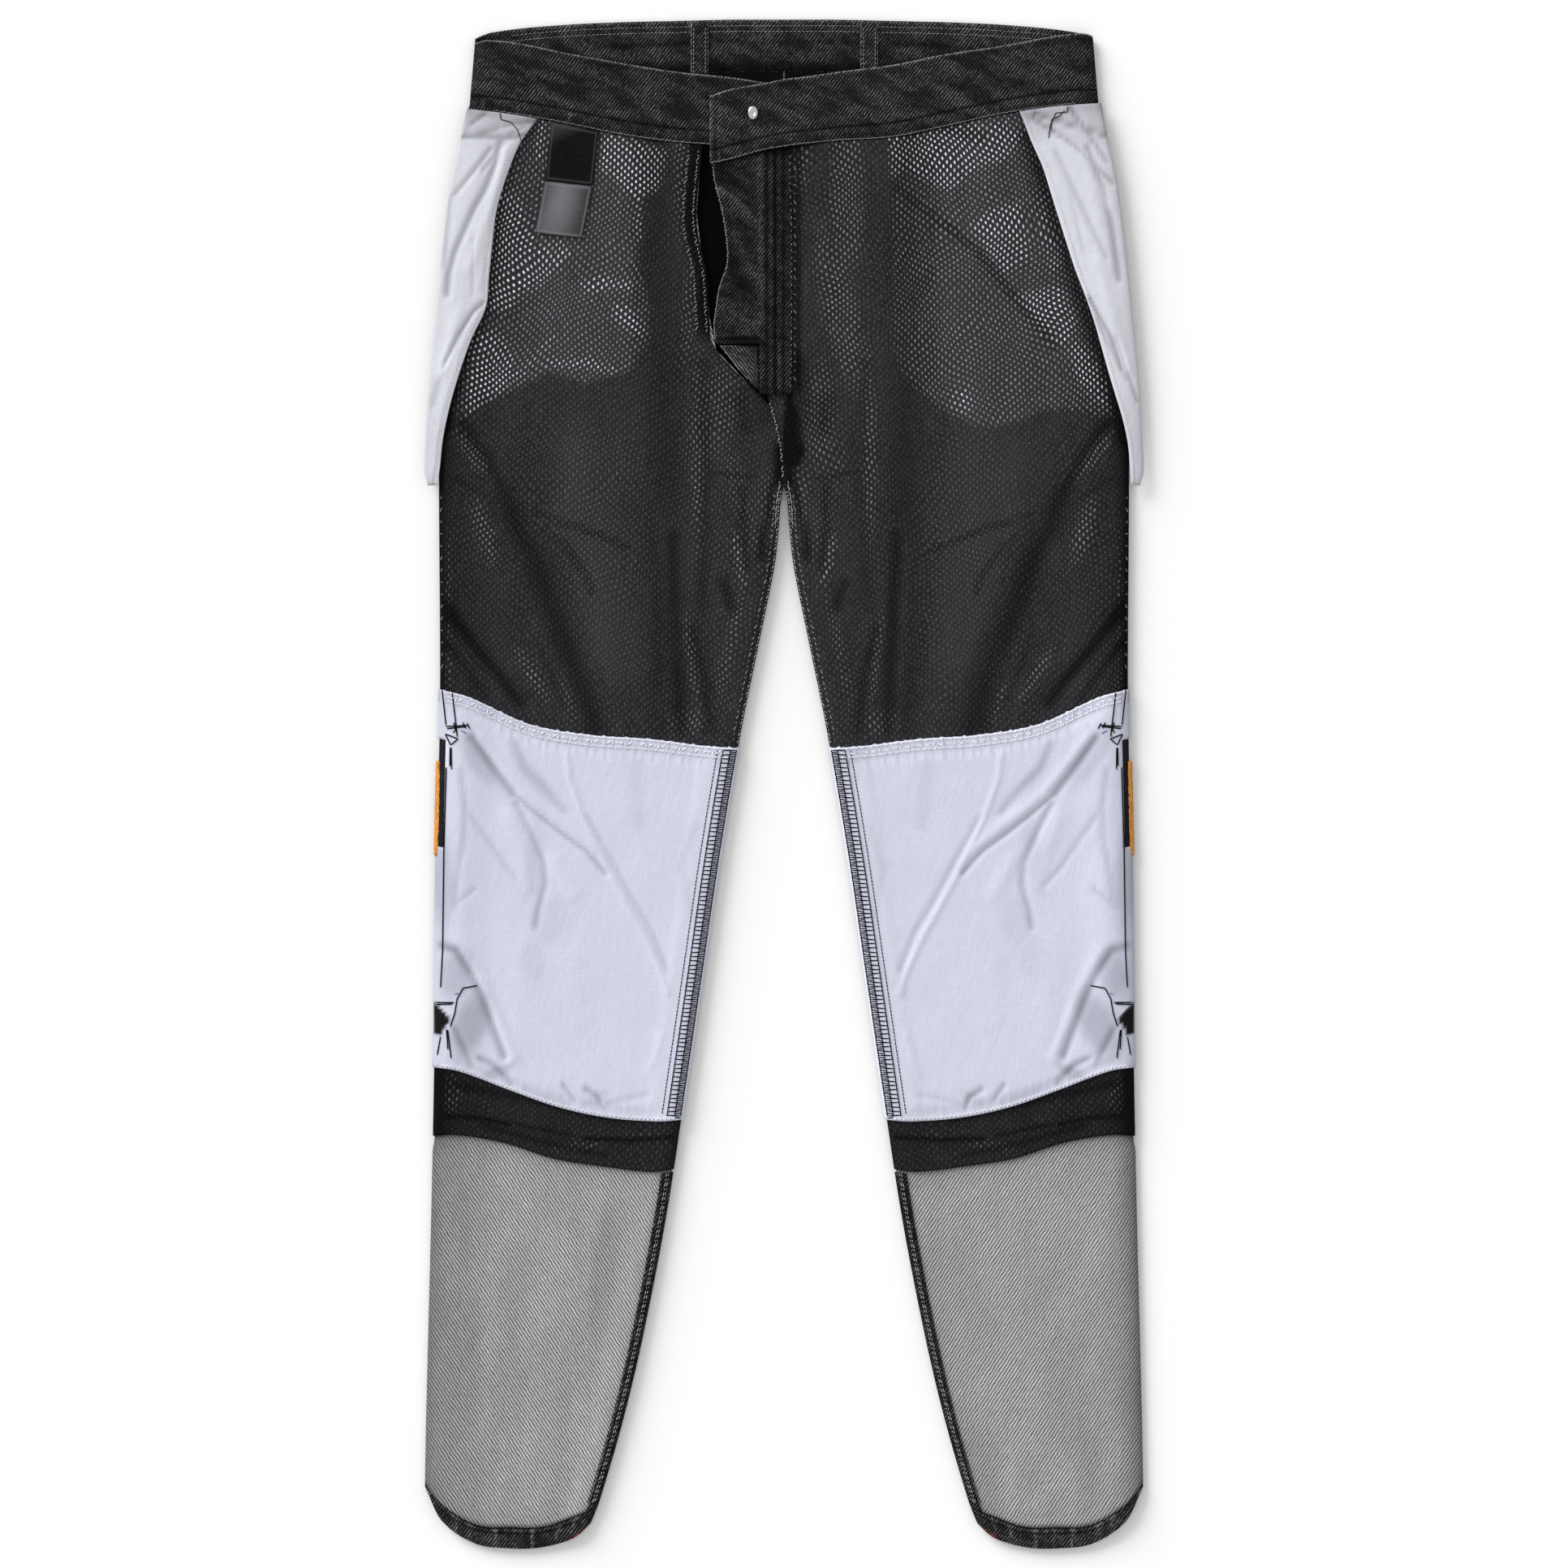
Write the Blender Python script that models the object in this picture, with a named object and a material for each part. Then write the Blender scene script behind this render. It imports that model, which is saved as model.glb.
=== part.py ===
# Motorcycle trousers, turned inside out and laid flat with the front up.
#
# Sizes are in millimetres and become metres where a mesh is made. The origin is at the middle of the
# garment on the surface that it lies on, +Y runs to the waist, +X to the right of the picture and +Z up.
# "left" and "right" are the viewer's. Each leg is a flattened tube: its back half lies on the surface and
# its front half lies on the back half, and both roll to a seam at half height along the edges.

import math

import bmesh
import bpy

MM = 0.001

# Cloth thicknesses
MESH = 1.0
DENIM = 1.2
POPLIN = 1.2
BAG = 2.0
BAND = 2.6
HEM = 2.4
FLY = 1.6
TRIM = 1.0
GAP = 0.3                   # room between two pieces at a seam or where one lies on the other
WAIST_GAP = 1.0             # measured along y, between the panels and the waistband
HEM_GAP = 1.4               # measured along y, because the hem's line climbs steeply at its ends
LINED = MESH + GAP          # depth of the denim under the lining's outer surface

# How the cloth rolls down to the seams along a leg's edges
SIDE_ROLL = 12.0
INNER_ROLL = 8.0
SIDE_RUN = 30.0             # from the top of the roll to where the front lies on the back
INNER_RUN = 22.0
ROLL_ANGLES = (0, 30, 55, 90)
CROTCH_SPREAD = 60.0        # length below the crotch over which the inseam's roll begins

# Edge of a leg: y, distance of the edge from the centre line
SIDE_EDGE = (
    (484, 225.0), (386, 237.5), (317, 243.3), (247, 246.2), (61, 245.6),
    (-55, 248.0), (-194, 249.7), (-310, 252.0), (-449, 255.5), (-499, 256.4),
)
INSEAM = (
    (212, 0.15), (184, 2.6), (155, 5.8), (97, 18.0), (39, 30.0), (-48, 45.0), (-135, 58.0),
    (-222, 70.8), (-309, 84.1), (-396, 101.0), (-454, 114.8), (-512, 131.7), (-528, 138.0),
)
# Front edges above the crotch: y, distance to each side of the centre line. The left front stops
# beside the open fly; the right front runs on under the fly shield.
CENTRE_LEFT = (
    (456, 58.3), (401, 62.3), (364, 55.4), (329, 53.0), (312, 50.0),
    (279, 19.0), (270, 10.2), (259, 6.1), (218, 0.3), (212, 0.15),
)
CENTRE_RIGHT = ((456, -12.0), (279, -12.0), (270, -9.9), (259, -5.8), (218, 0.0), (212, 0.15))

# Lines across a leg: y at these fractions of the way from the side edge to the inner edge
ACROSS = (0.0, 0.1, 0.3, 0.5, 0.7, 0.9, 1.0)
BACK_WAIST = (484.0, 489.0, 499.0, 505.0, 508.0, 509.0, 509.0)
LEG_LINES = (
    ("crotch", (247.0, 243.5, 236.6, 229.6, 222.7, 215.8, 212.3)),
    ("knee top", (68.0, 62.0, 43.0, 35.4, 32.4, 27.2, 26.0)),
    ("knee bottom", (-202.0, -204.8, -218.0, -230.4, -238.0, -240.7, -239.5)),
    ("lining bottom", (-251.1, -250.4, -256.3, -267.3, -272.8, -276.7, -274.9)),
    ("hem top", (-499.1, -514.5, -529.4, -531.0, -530.4, -521.3, -516.5)),
    ("hem bottom", (-501.7, -525.5, -542.0, -545.6, -545.0, -538.0, -527.8)),
)
# Level numbers of those lines, counted down from the waist
WAIST_LEVEL, CROTCH, KNEE_TOP, KNEE_BOTTOM, LINING_BOTTOM, HEM_TOP, HEM_BOTTOM = range(7)
# A panel's rows from the waist to the crotch, as shares of the way, which follow the corners of the fly
HIP_ROWS = (0.0, 0.15, 0.30, 0.45, 0.59, 0.725, 0.86)
# Rows between each lower line and the next
ROWS_BELOW = {CROTCH: 4, KNEE_TOP: 6, KNEE_BOTTOM: 1, LINING_BOTTOM: 5, HEM_TOP: 2}
STEP_START = 0.008          # part of the lower leg over which the denim drops from the lining's height
STEP_END = 0.045

# Heights of the lined tube at each level: top of the roll, top where the front lies on the back
LINED_HEIGHTS = ((8.0, 6.4), (8.0, 6.3), (8.0, 6.0), (8.0, 6.0), (8.0, 5.8), (8.0, 5.8), (8.0, 5.8))
LINED_SEAM = 4.0
BARE_HEIGHTS = ((6.5, 4.4), (6.4, 4.0))     # at the lining's bottom and at the hem's top
HEM_HEIGHTS = (6.9, 5.4)    # top of the roll, top of the middle
BARE_SEAM = 3.2

# Soft ridges of a leg's front: start x, y, end x, y, half width, height
LEG_FOLDS = (
    (150, 330, 126, 90, 22, 1.5),
    (92, 320, 76, 100, 18, 1.0),
    (222, 95, 158, 185, 15, 1.1),
    (160, -330, 172, -470, 24, 0.7),
)
# Creases of a knee pocket: start x, y, end x, y, half width, height
KNEE_CREASES = (
    (230, 46, 175, -24, 9, 1.3),
    (175, -24, 131, -61, 8, 1.1),
    (156, 27, 148, -17, 8, 0.9),
    (148, -17, 126, -65, 9, 1.3),
    (126, -65, 83, -150, 9, 1.2),
    (224, -21, 204, -45, 6, 0.8),
    (234, -94, 206, -170, 9, 1.1),
    (171, -52, 171, -92, 5, -0.7),
    (146, -196, 145, -226, 6, 0.8),
    (132, -196, 130, -228, 6, 0.7),
)
KNEE_LOFT = 1.5             # how far the loose pocket stands off the lining
KNEE_ROWS = 12
OPENING_ROWS = (1, 5)       # rows of the pocket's side opening

# Waistband: distance from the centre line, lower and upper edge of each front end, upper edge of the back
BAND_TABLE = (
    (225, 481.5, 531.5, 485.6, 536.8, 534.0),
    (193, 477.5, 529.1, 483.3, 533.6, 539.0),
    (155, 470.7, 521.5, 477.6, 526.6, 542.3),
    (116, 462.8, 514.4, 468.9, 520.8, 544.1),
    (77, 457.5, 508.2, 461.1, 513.0, 545.0),
    (38, 455.5, 504.2, 458.5, 508.1, 545.9),
    (14, 457.0, 500.5, 456.0, 504.4, 545.9),
    (0, 457.0, 498.5, 454.0, 502.5, 545.9),
    (-16, 457.0, 497.0, 451.2, 499.3, 545.9),
    (-38, 457.0, 496.0, 445.0, 495.5, 545.9),
    (-52, 457.0, 496.0, 442.0, 491.0, 545.9),
)
BAND_STEP = 19.0            # room between the columns of the band's flat stretch
BAND_COLUMN = {"front left": (1, 2), "front right": (3, 4)}
BAND_EDGE = (224.5, 220.5)  # distance of the band's side fold from the centre line, lower and upper edge
BAND_HEIGHTS = (8.4, 7.2)   # top of its roll, top of its middle
LEFT_END = 8.0              # the left end stops short of the centre line, under the right end
RIGHT_END = -53.0           # the right end laps past the centre line
LAP_START = 30.0            # where the right end begins to climb over the left one
LAP_FULL = 2.0

LOOP_WIDTH = 12.6
LOOP_CENTRES = (-60.3, 60.9)
LOOP_Y = (494.0, 543.2)
LOOP_THICK = 1.2

# Fly shield: y, left edge, right edge; its lower end is narrower than its upper one
SHIELD_ROWS = (
    (452, -52.0, 4.6), (432, -50.2, 4.6), (411, -45.0, 5.4), (391, -41.7, 5.7), (372, -40.9, 5.9),
    (354, -46.6, 5.9), (339, -49.0, 5.8), (326, -50.4, 5.7), (313.8, -49.2, 5.6),
    (296, -49.2, 5.5), (278, -49.2, 5.0),
)
SHIELD_STEP = 8             # row where the shield narrows
SHIELD_WAIST = -17.6        # left edge of its narrow end
SHIELD_HIGH = 6.8           # underside where it lies on the right front
SHIELD_LOW = 4.5            # underside at its free edge
SHIELD_DROP = (-14.0, -46.0)    # where the underside begins to fall, and where it has fallen
RIDGE_X = -6.7              # a turned edge that runs down the shield
RIDGE_HIGH = 0.7
# The wedge beside the shield's narrow end: y, left edge
CORNER_ROWS = ((313.0, -46.5), (300.0, -36.0), (290.0, -27.0), (282.0, -20.0))

TACK_CENTRE = (-22.2, 478.5)
TACK_RADII = (3.6, 4.8)
TACK_PROFILE = ((1.0, 0.0), (1.0, 0.8), (0.86, 1.4), (0.5, 1.8))   # share of the radius, height

# Pocket bag: y, inner edge, outer edge
BAG_ROWS = (
    (476, 176.0, 226.0), (456, 188.8, 231.7), (433, 198.0, 236.9), (409, 205.0, 240.4),
    (386, 207.9, 243.3), (363, 210.3, 245.6), (340, 212.6, 248.0), (317, 223.0, 250.3),
    (294, 231.1, 252.4), (270, 238.1, 254.2), (247, 243.0, 255.5), (224, 245.6, 256.6), (213, 247.4, 254.0),
)
BAG_COLUMNS = 4
BAG_REACH = 26.0            # half width of the curve in which the bag falls past the side's roll
BAG_FLOOR = 2.0

# Labels: lower edge and upper edge, each as x, y of its left and right corner
SATIN_LABEL = ((-170.4, 430.6), (-136.6, 427.0), (-166.3, 468.4), (-132.4, 464.6))
CARE_LABEL = ((-177.4, 393.5), (-144.1, 389.4), (-170.5, 430.0), (-136.8, 426.4))

COLOURS = {
    "black denim": (0.028, 0.028, 0.031),
    "grey denim": (0.32, 0.32, 0.318),
    "mesh": (0.014, 0.014, 0.015),
    "poplin": (0.66, 0.67, 0.78),
    "bag cloth": (0.70, 0.72, 0.78),
    "hook tape": (0.010, 0.010, 0.011),
    "aramid": (0.42, 0.17, 0.03),
    "satin": (0.012, 0.012, 0.013),
    "care": (0.10, 0.10, 0.105),
    "steel": (0.62, 0.62, 0.60),
}


def clear_scene():
    for item in list(bpy.data.objects):
        bpy.data.objects.remove(item, do_unlink=True)


def finish(name):
    """The part's plain material of this name."""
    material = bpy.data.materials.get(name)
    if material is None:
        material = bpy.data.materials.new(name)
        material.use_nodes = True
        shader = material.node_tree.nodes["Principled BSDF"]
        metal = name == "steel"
        shader.inputs["Base Color"].default_value = (*COLOURS[name], 1.0)
        shader.inputs["Roughness"].default_value = 0.3 if metal else 0.9
        shader.inputs["Metallic"].default_value = 1.0 if metal else 0.0
    return material


def mix(a, b, share):
    return a + (b - a) * share


def ease(share):
    """0 to 1 with soft ends."""
    share = min(1.0, max(0.0, share))
    return share * share * (3.0 - 2.0 * share)


def smooth(table, key, column=1):
    """A smooth curve through a table's column, the keys in the first column rising or falling."""
    rows = sorted(table)
    keys = [row[0] for row in rows]
    values = [row[column] for row in rows]
    key = min(keys[-1], max(keys[0], key))
    at = 0
    while at < len(keys) - 2 and key > keys[at + 1]:
        at += 1
    span = keys[at + 1] - keys[at]
    slopes = []
    for i in (at, at + 1):
        low = max(i - 1, 0)
        high = min(i + 1, len(keys) - 1)
        slopes.append((values[high] - values[low]) / (keys[high] - keys[low]) * span)
    t = (key - keys[at]) / span
    return (
        values[at] * (1 + 2 * t) * (1 - t) ** 2
        + values[at + 1] * t * t * (3 - 2 * t)
        + slopes[0] * t * (1 - t) ** 2
        - slopes[1] * t * t * (1 - t)
    )


def ridges(table, x, y):
    """Height that soft ridges and troughs add at a place of a leg."""
    total = 0.0
    for x0, y0, x1, y1, half_width, height in table:
        length = math.hypot(x1 - x0, y1 - y0)
        along = ((x - x0) * (x1 - x0) + (y - y0) * (y1 - y0)) / length
        across = ((x - x0) * (y1 - y0) - (y - y0) * (x1 - x0)) / length
        past = max(0.0, -along, along - length)
        total += height * math.exp(-(across ** 2 + past ** 2) / half_width ** 2)
    return total


def waist_line(panel, across):
    """y of a panel's upper edge, where it meets the waistband, at a fraction of the way across."""
    if panel["face"] == "back":
        return smooth(tuple(zip(ACROSS, BACK_WAIST)), across)
    edge = CENTRE_LEFT if panel["side"] == "left" else CENTRE_RIGHT
    low_column = BAND_COLUMN[f"front {panel['side']}"][0]
    return smooth(BAND_TABLE, mix(BAND_EDGE[0], edge[0][1], across), low_column)


def leg_line(panel, level, across):
    """y of a leg's line at a fraction of the way across, between two numbered lines."""
    upper = min(int(level), HEM_BOTTOM - 1)
    below = smooth(tuple(zip(ACROSS, LEG_LINES[upper][1])), across)
    if upper == WAIST_LEVEL:
        above = waist_line(panel, across)
    else:
        above = smooth(tuple(zip(ACROSS, LEG_LINES[upper - 1][1])), across)
    return mix(above, below, level - upper)


def inner_edge(panel, y):
    """Distance of a panel's inner edge from the centre line."""
    if y < INSEAM[0][0]:
        return smooth(INSEAM, y)
    if panel["face"] == "back":
        return INSEAM[0][1]
    return smooth(CENTRE_LEFT if panel["side"] == "left" else CENTRE_RIGHT, y)


def tube_heights(panel, level):
    """Top of the roll, top of the middle, seam height and underside of a panel's tube."""
    upper = min(int(level), HEM_BOTTOM - 1)
    share = level - upper
    if panel["cloth"] == "hem":
        return *HEM_HEIGHTS, BARE_SEAM, 0.0
    if panel["cloth"] == "denim" and level > LINING_BOTTOM + STEP_START * 2:
        share = level - LINING_BOTTOM
        (top, middle), (low_top, low_middle) = BARE_HEIGHTS
        return mix(top, low_top, share), mix(middle, low_middle, share), BARE_SEAM, 0.0
    depth = LINED if panel["cloth"] == "denim" else 0.0
    top = mix(LINED_HEIGHTS[upper][0], LINED_HEIGHTS[upper + 1][0], share)
    middle = mix(LINED_HEIGHTS[upper][1], LINED_HEIGHTS[upper + 1][1], share)
    return top - depth, middle - depth, LINED_SEAM, depth


def edge_insets(panel, level):
    """How far a panel's cloth stands in from the outline at the side and at the inseam."""
    if panel["cloth"] != "denim":
        return 0.0, 0.0
    if level > LINING_BOTTOM + STEP_START * 2:
        return 0.0, TRIM + GAP
    return LINED, LINED


def panel_columns(interior):
    """Columns across a panel: the side's roll, its run, the middle, the inner run and roll."""
    columns = [("side roll", angle) for angle in ROLL_ANGLES]
    columns.append(("side run", SIDE_RUN))
    columns += [("middle", (i + 1) / (interior + 1)) for i in range(interior)]
    columns.append(("inner run", INNER_RUN))
    columns += [("inner roll", angle) for angle in reversed(ROLL_ANGLES)]
    return columns


def column_place(column, width):
    """Distance of a column from the side edge, on a panel of this width."""
    kind, value = column
    if kind == "side roll":
        return SIDE_ROLL * (1 - math.cos(math.radians(value)))
    if kind == "side run":
        return SIDE_ROLL + value
    if kind == "inner run":
        return width - INNER_ROLL - value
    if kind == "inner roll":
        return width - INNER_ROLL * (1 - math.cos(math.radians(value)))
    return mix(SIDE_ROLL + SIDE_RUN, width - INNER_ROLL - INNER_RUN, value)


def panel_point(panel, level, column, depth, shift=0.0):
    """A point some depth under a panel's outer surface, moved along y by shift."""
    kind, value = column
    side_y = leg_line(panel, level, 0.0)
    inner_y = leg_line(panel, level, 1.0)
    side_x = smooth(SIDE_EDGE, side_y)
    inner_x = inner_edge(panel, inner_y)
    width = side_x - inner_x
    from_side = column_place(column, width)
    from_inner = width - from_side
    x = side_x - from_side
    y = leg_line(panel, level, from_side / width) + shift
    top, middle, seam, underside = tube_heights(panel, level)
    rolled = ease((INSEAM[0][0] - inner_y) / CROTCH_SPREAD)
    side_share = 1 - min(1.0, max(0.0, from_side - SIDE_ROLL) / SIDE_RUN)
    inner_share = rolled * (1 - min(1.0, max(0.0, from_inner - INNER_ROLL) / INNER_RUN))
    if panel["face"] == "front":
        crown = middle + (top - middle) * max(side_share, inner_share)
        flat = crown + ridges(LEG_FOLDS, x, y) - depth
        half_gap = GAP / 2
    else:
        flat = underside + depth
        half_gap = -GAP / 2
    side_inset, inner_inset = edge_insets(panel, level)
    z = flat
    if kind == "side roll":
        angle = math.radians(value)
        x = side_x - SIDE_ROLL + (SIDE_ROLL - side_inset - depth) * math.cos(angle)
        z = seam + half_gap + (flat - seam - half_gap) * math.sin(angle)
    if kind == "inner roll":
        angle = math.radians(value)
        round_x = inner_x + INNER_ROLL - (INNER_ROLL - inner_inset - depth) * math.cos(angle)
        round_z = seam + half_gap + (flat - seam - half_gap) * math.sin(angle)
        x = mix(x, round_x, rolled)
        z = mix(flat, round_z, rolled)
    sign = -1 if panel["side"] == "left" else 1
    return sign * x, y, z


def lining_top(x, y):
    """Height of the front lining's outer surface at a place clear of its folds."""
    from_side = smooth(SIDE_EDGE, y) - abs(x)
    share = 1 - min(1.0, max(0.0, from_side - SIDE_ROLL) / SIDE_RUN)
    top, middle = LINED_HEIGHTS[0]
    return mix(middle, top, share)


def add_object(name, mesh_data, material):
    bmesh.ops.recalc_face_normals(mesh_data, faces=mesh_data.faces)
    mesh = bpy.data.meshes.new(name)
    mesh_data.to_mesh(mesh)
    mesh_data.free()
    mesh.materials.append(finish(material))
    mesh.shade_smooth()
    mesh.set_sharp_from_angle(angle=math.radians(35))
    item = bpy.data.objects.new(name, mesh)
    bpy.context.scene.collection.objects.link(item)
    return item


def add_wall(name, outer, inner, material, left_out=()):
    """A closed wall between two grids of points, without the cells that are left out."""
    cells = {(r, c) for r in range(len(outer) - 1) for c in range(len(outer[0]) - 1)} - set(left_out)
    data = bmesh.new()
    made = {}

    def corner(sheet, place):
        if (sheet, place) not in made:
            grid = outer if sheet == "outer" else inner
            point = grid[place[0]][place[1]]
            made[sheet, place] = data.verts.new([value * MM for value in point])
        return made[sheet, place]

    def quad(corners):
        a, b, c, d = corners
        data.faces.new((a, b, c))
        data.faces.new((a, c, d))

    for r, c in sorted(cells):
        ring = ((r, c), (r, c + 1), (r + 1, c + 1), (r + 1, c))
        quad([corner("outer", place) for place in ring])
        first, second, third, fourth = [corner("inner", place) for place in ring]
        data.faces.new((first, third, second))
        data.faces.new((first, fourth, third))
        beside = ((r - 1, c), (r, c + 1), (r + 1, c), (r, c - 1))
        for i, neighbour in enumerate(beside):
            if neighbour not in cells:
                start = ring[i]
                end = ring[(i + 1) % 4]
                rim = (("outer", end), ("outer", start), ("inner", start), ("inner", end))
                quad([corner(*place) for place in rim])
    return add_object(name, data, material)


def leg_levels(first, last):
    """Levels of a panel's rows from one line to another."""
    levels = []
    for line in range(first, last):
        shares = HIP_ROWS
        if line in ROWS_BELOW:
            shares = [i / ROWS_BELOW[line] for i in range(ROWS_BELOW[line])]
        levels += [line + share for share in shares]
    return levels + [float(last)]


def panel_wall(name, panel, levels, columns, depths, material, ends=(0.0, 0.0), left_out=()):
    """A panel's wall between two depths; ends shifts its first and last row along y."""
    grids = []
    for depth in depths:
        rows = []
        for i, level in enumerate(levels):
            shift = ends[0] if i == 0 else ends[1] if i == len(levels) - 1 else 0.0
            rows.append([panel_point(panel, level, column, depth, shift) for column in columns])
        grids.append(rows)
    return add_wall(name, grids[0], grids[1], material, left_out)


def build_leg(side):
    """Denim, lining and hem of one leg, front and back."""
    for face in ("front", "back"):
        columns = panel_columns(5 if face == "front" else 1)
        denim = {"side": side, "face": face, "cloth": "denim"}
        lining = {"side": side, "face": face, "cloth": "lining"}
        hem = {"side": side, "face": face, "cloth": "hem"}
        lower = [level for level in leg_levels(LINING_BOTTOM, HEM_TOP) if level > LINING_BOTTOM]
        steps = [LINING_BOTTOM + STEP_START, LINING_BOTTOM + STEP_END]
        levels = leg_levels(WAIST_LEVEL, LINING_BOTTOM)[:-1] + steps + lower
        panel_wall(f"leg_{face}_{side}", denim, levels, columns, (0.0, DENIM), "grey denim",
                   ends=(-WAIST_GAP / 2, HEM_GAP / 2))
        panel_wall(f"lining_{face}_{side}", lining, leg_levels(WAIST_LEVEL, LINING_BOTTOM), columns,
                   (0.0, MESH), "mesh", ends=(-WAIST_GAP / 2, 0.0))
        panel_wall(f"hem_{face}_{side}", hem, leg_levels(HEM_TOP, HEM_BOTTOM), columns, (0.0, HEM),
                   "black denim", ends=(-HEM_GAP / 2, 0.0))


def build_inseam_allowance(side):
    """The overlocked allowance that lies over the inseam of the unlined lower leg."""
    panel = {"side": side, "face": "front", "cloth": "denim"}
    columns = [("inner roll", angle) for angle in reversed(ROLL_ANGLES)]
    levels = [LINING_BOTTOM + STEP_END] + leg_levels(LINING_BOTTOM, HEM_TOP)[1:]
    panel_wall(f"inseam_allowance_{side}", panel, levels, columns, (-GAP - TRIM, -GAP), "black denim",
               ends=(0.0, GAP))


def build_knee(side):
    """Knee pocket on the lining, with the trims that show in its side opening."""
    panel = {"side": side, "face": "front", "cloth": "lining"}
    columns = panel_columns(11)
    levels = [mix(KNEE_TOP, KNEE_BOTTOM, i / KNEE_ROWS) for i in range(KNEE_ROWS + 1)]
    opening = range(*OPENING_ROWS)
    open_cells = len(ROLL_ANGLES) - 2
    left_out = [(row, column) for row in opening for column in range(open_cells)]

    roll_columns = len(ROLL_ANGLES)

    def stand_off(row, column):
        x, y, z = panel_point(panel, levels[row], columns[column], 0.0)
        last_row = len(levels) - 1
        last_column = len(columns) - roll_columns
        border = min(row, last_row - row, column - roll_columns + 1, last_column - column)
        share = ease(border / 2)
        return share * (KNEE_LOFT + ridges(KNEE_CREASES, abs(x), y))

    grids = []
    for depth in (-GAP - POPLIN, -GAP):
        rows = []
        for r, level in enumerate(levels):
            row = []
            for c, column in enumerate(columns):
                x, y, z = panel_point(panel, level, column, depth)
                row.append((x, y, z + stand_off(r, c)))
            rows.append(row)
        grids.append(rows)
    add_wall(f"knee_pocket_{side}", grids[0], grids[1], "poplin", left_out)

    trims = (("knee_hook_tape", 1, "hook tape"), ("knee_lining_edge", 0, "aramid"))
    opening_levels = levels[OPENING_ROWS[0]:OPENING_ROWS[1] + 1]
    for name, first, material in trims:
        start, end = ROLL_ANGLES[first], ROLL_ANGLES[first + 1]
        clear = 3
        strip = [("side roll", angle) for angle in (start + clear * first, end - clear)]
        panel_wall(f"{name}_{side}", panel, opening_levels, strip, (-GAP - TRIM, -GAP), material,
                   ends=(-GAP, GAP))


def build_pocket_bag(side):
    """The front pocket's bag, which hangs over the hip and falls past the leg's edge."""
    sign = -1 if side == "left" else 1
    band_column = BAND_COLUMN[f"front {side}"][0]
    under = []
    for y, inner, outer in BAG_ROWS:
        row = []
        for i in range(BAG_COLUMNS + 1):
            x = mix(inner, outer, i / BAG_COLUMNS)
            past = max(0.0, x - smooth(SIDE_EDGE, y) + SIDE_ROLL) / BAG_REACH
            z = BAG_FLOOR + (lining_top(x, y) + GAP - BAG_FLOOR) * math.sqrt(1 - past ** 2)
            edge_y = y if under else smooth(BAND_TABLE, x, band_column) - WAIST_GAP / 2
            row.append((sign * x, edge_y, z))
        under.append(row)
    over = [[(x, y, z + BAG) for x, y, z in row] for row in under]
    add_wall(f"pocket_bag_{side}", over, under, "bag cloth")


def band_height(x):
    """Top of a front band's outer face at a signed distance from the centre line."""
    share = 1 - min(1.0, max(0.0, BAND_EDGE[0] - SIDE_ROLL - abs(x)) / SIDE_RUN)
    return mix(BAND_HEIGHTS[1], BAND_HEIGHTS[0], share)


def band_point(end, place, row, depth):
    """A point of a waistband's end; place is an angle on the side's roll or a distance from the centre."""
    kind, value = place
    edge = mix(*BAND_EDGE, row)
    base_x = edge - SIDE_ROLL * (1 - math.cos(math.radians(value))) if kind == "roll" else value
    if end == "back":
        fraction = 1 - abs(base_x) / BAND_EDGE[0]
        low = smooth(tuple(zip(ACROSS, BACK_WAIST)), fraction)
        high = smooth(BAND_TABLE, base_x, 5)
    else:
        low_column, high_column = BAND_COLUMN[end]
        low = smooth(BAND_TABLE, base_x, low_column)
        high = smooth(BAND_TABLE, base_x, high_column)
    y = mix(low + WAIST_GAP / 2, high, row)
    x = base_x
    if end == "back":
        flat = depth
        half_gap = -GAP / 2
    else:
        lap = ease((LAP_START - x) / (LAP_START - LAP_FULL)) if end == "front right" else 0.0
        flat = band_height(x) + lap * (BAND + GAP) - depth
        half_gap = GAP / 2
    z = flat
    if kind == "roll":
        angle = math.radians(value)
        x = edge - SIDE_ROLL + (SIDE_ROLL - depth) * math.cos(angle)
        z = LINED_SEAM + half_gap + (flat - LINED_SEAM - half_gap) * math.sin(angle)
    return x, y, z


def build_waistband():
    """The band in three stretches: the left and right front ends, and the back."""
    rolls = [("roll", angle) for angle in ROLL_ANGLES]
    stops = [BAND_STEP * i for i in range(10, -3, -1)]
    band_rows = (0.0, 0.25, 0.5, 0.75, 1.0)
    for end, last in (("front left", LEFT_END), ("front right", RIGHT_END)):
        sign = -1 if end == "front left" else 1
        places = rolls + [("flat", x) for x in stops if x > last + 3] + [("flat", last)]
        grids = []
        for depth in (0.0, BAND):
            rows = []
            for row in band_rows:
                points = [band_point(end, place, row, depth) for place in places]
                rows.append([(sign * x, y, z) for x, y, z in points])
            grids.append(rows)
        add_wall(f"waistband_{end.replace(' ', '_')}", grids[0], grids[1], "black denim")
    half = rolls + [("flat", x) for x in stops if x > 0]
    grids = []
    for depth in (0.0, BAND):
        rows = []
        for row in band_rows:
            points = [band_point("back", place, row, depth) for place in half]
            middle = [band_point("back", ("flat", 0.0), row, depth)]
            mirrored = [(-x, y, z) for x, y, z in points]
            rows.append(mirrored + middle + points[::-1])
        grids.append(rows)
    add_wall("waistband_back", grids[0], grids[1], "black denim")


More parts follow.
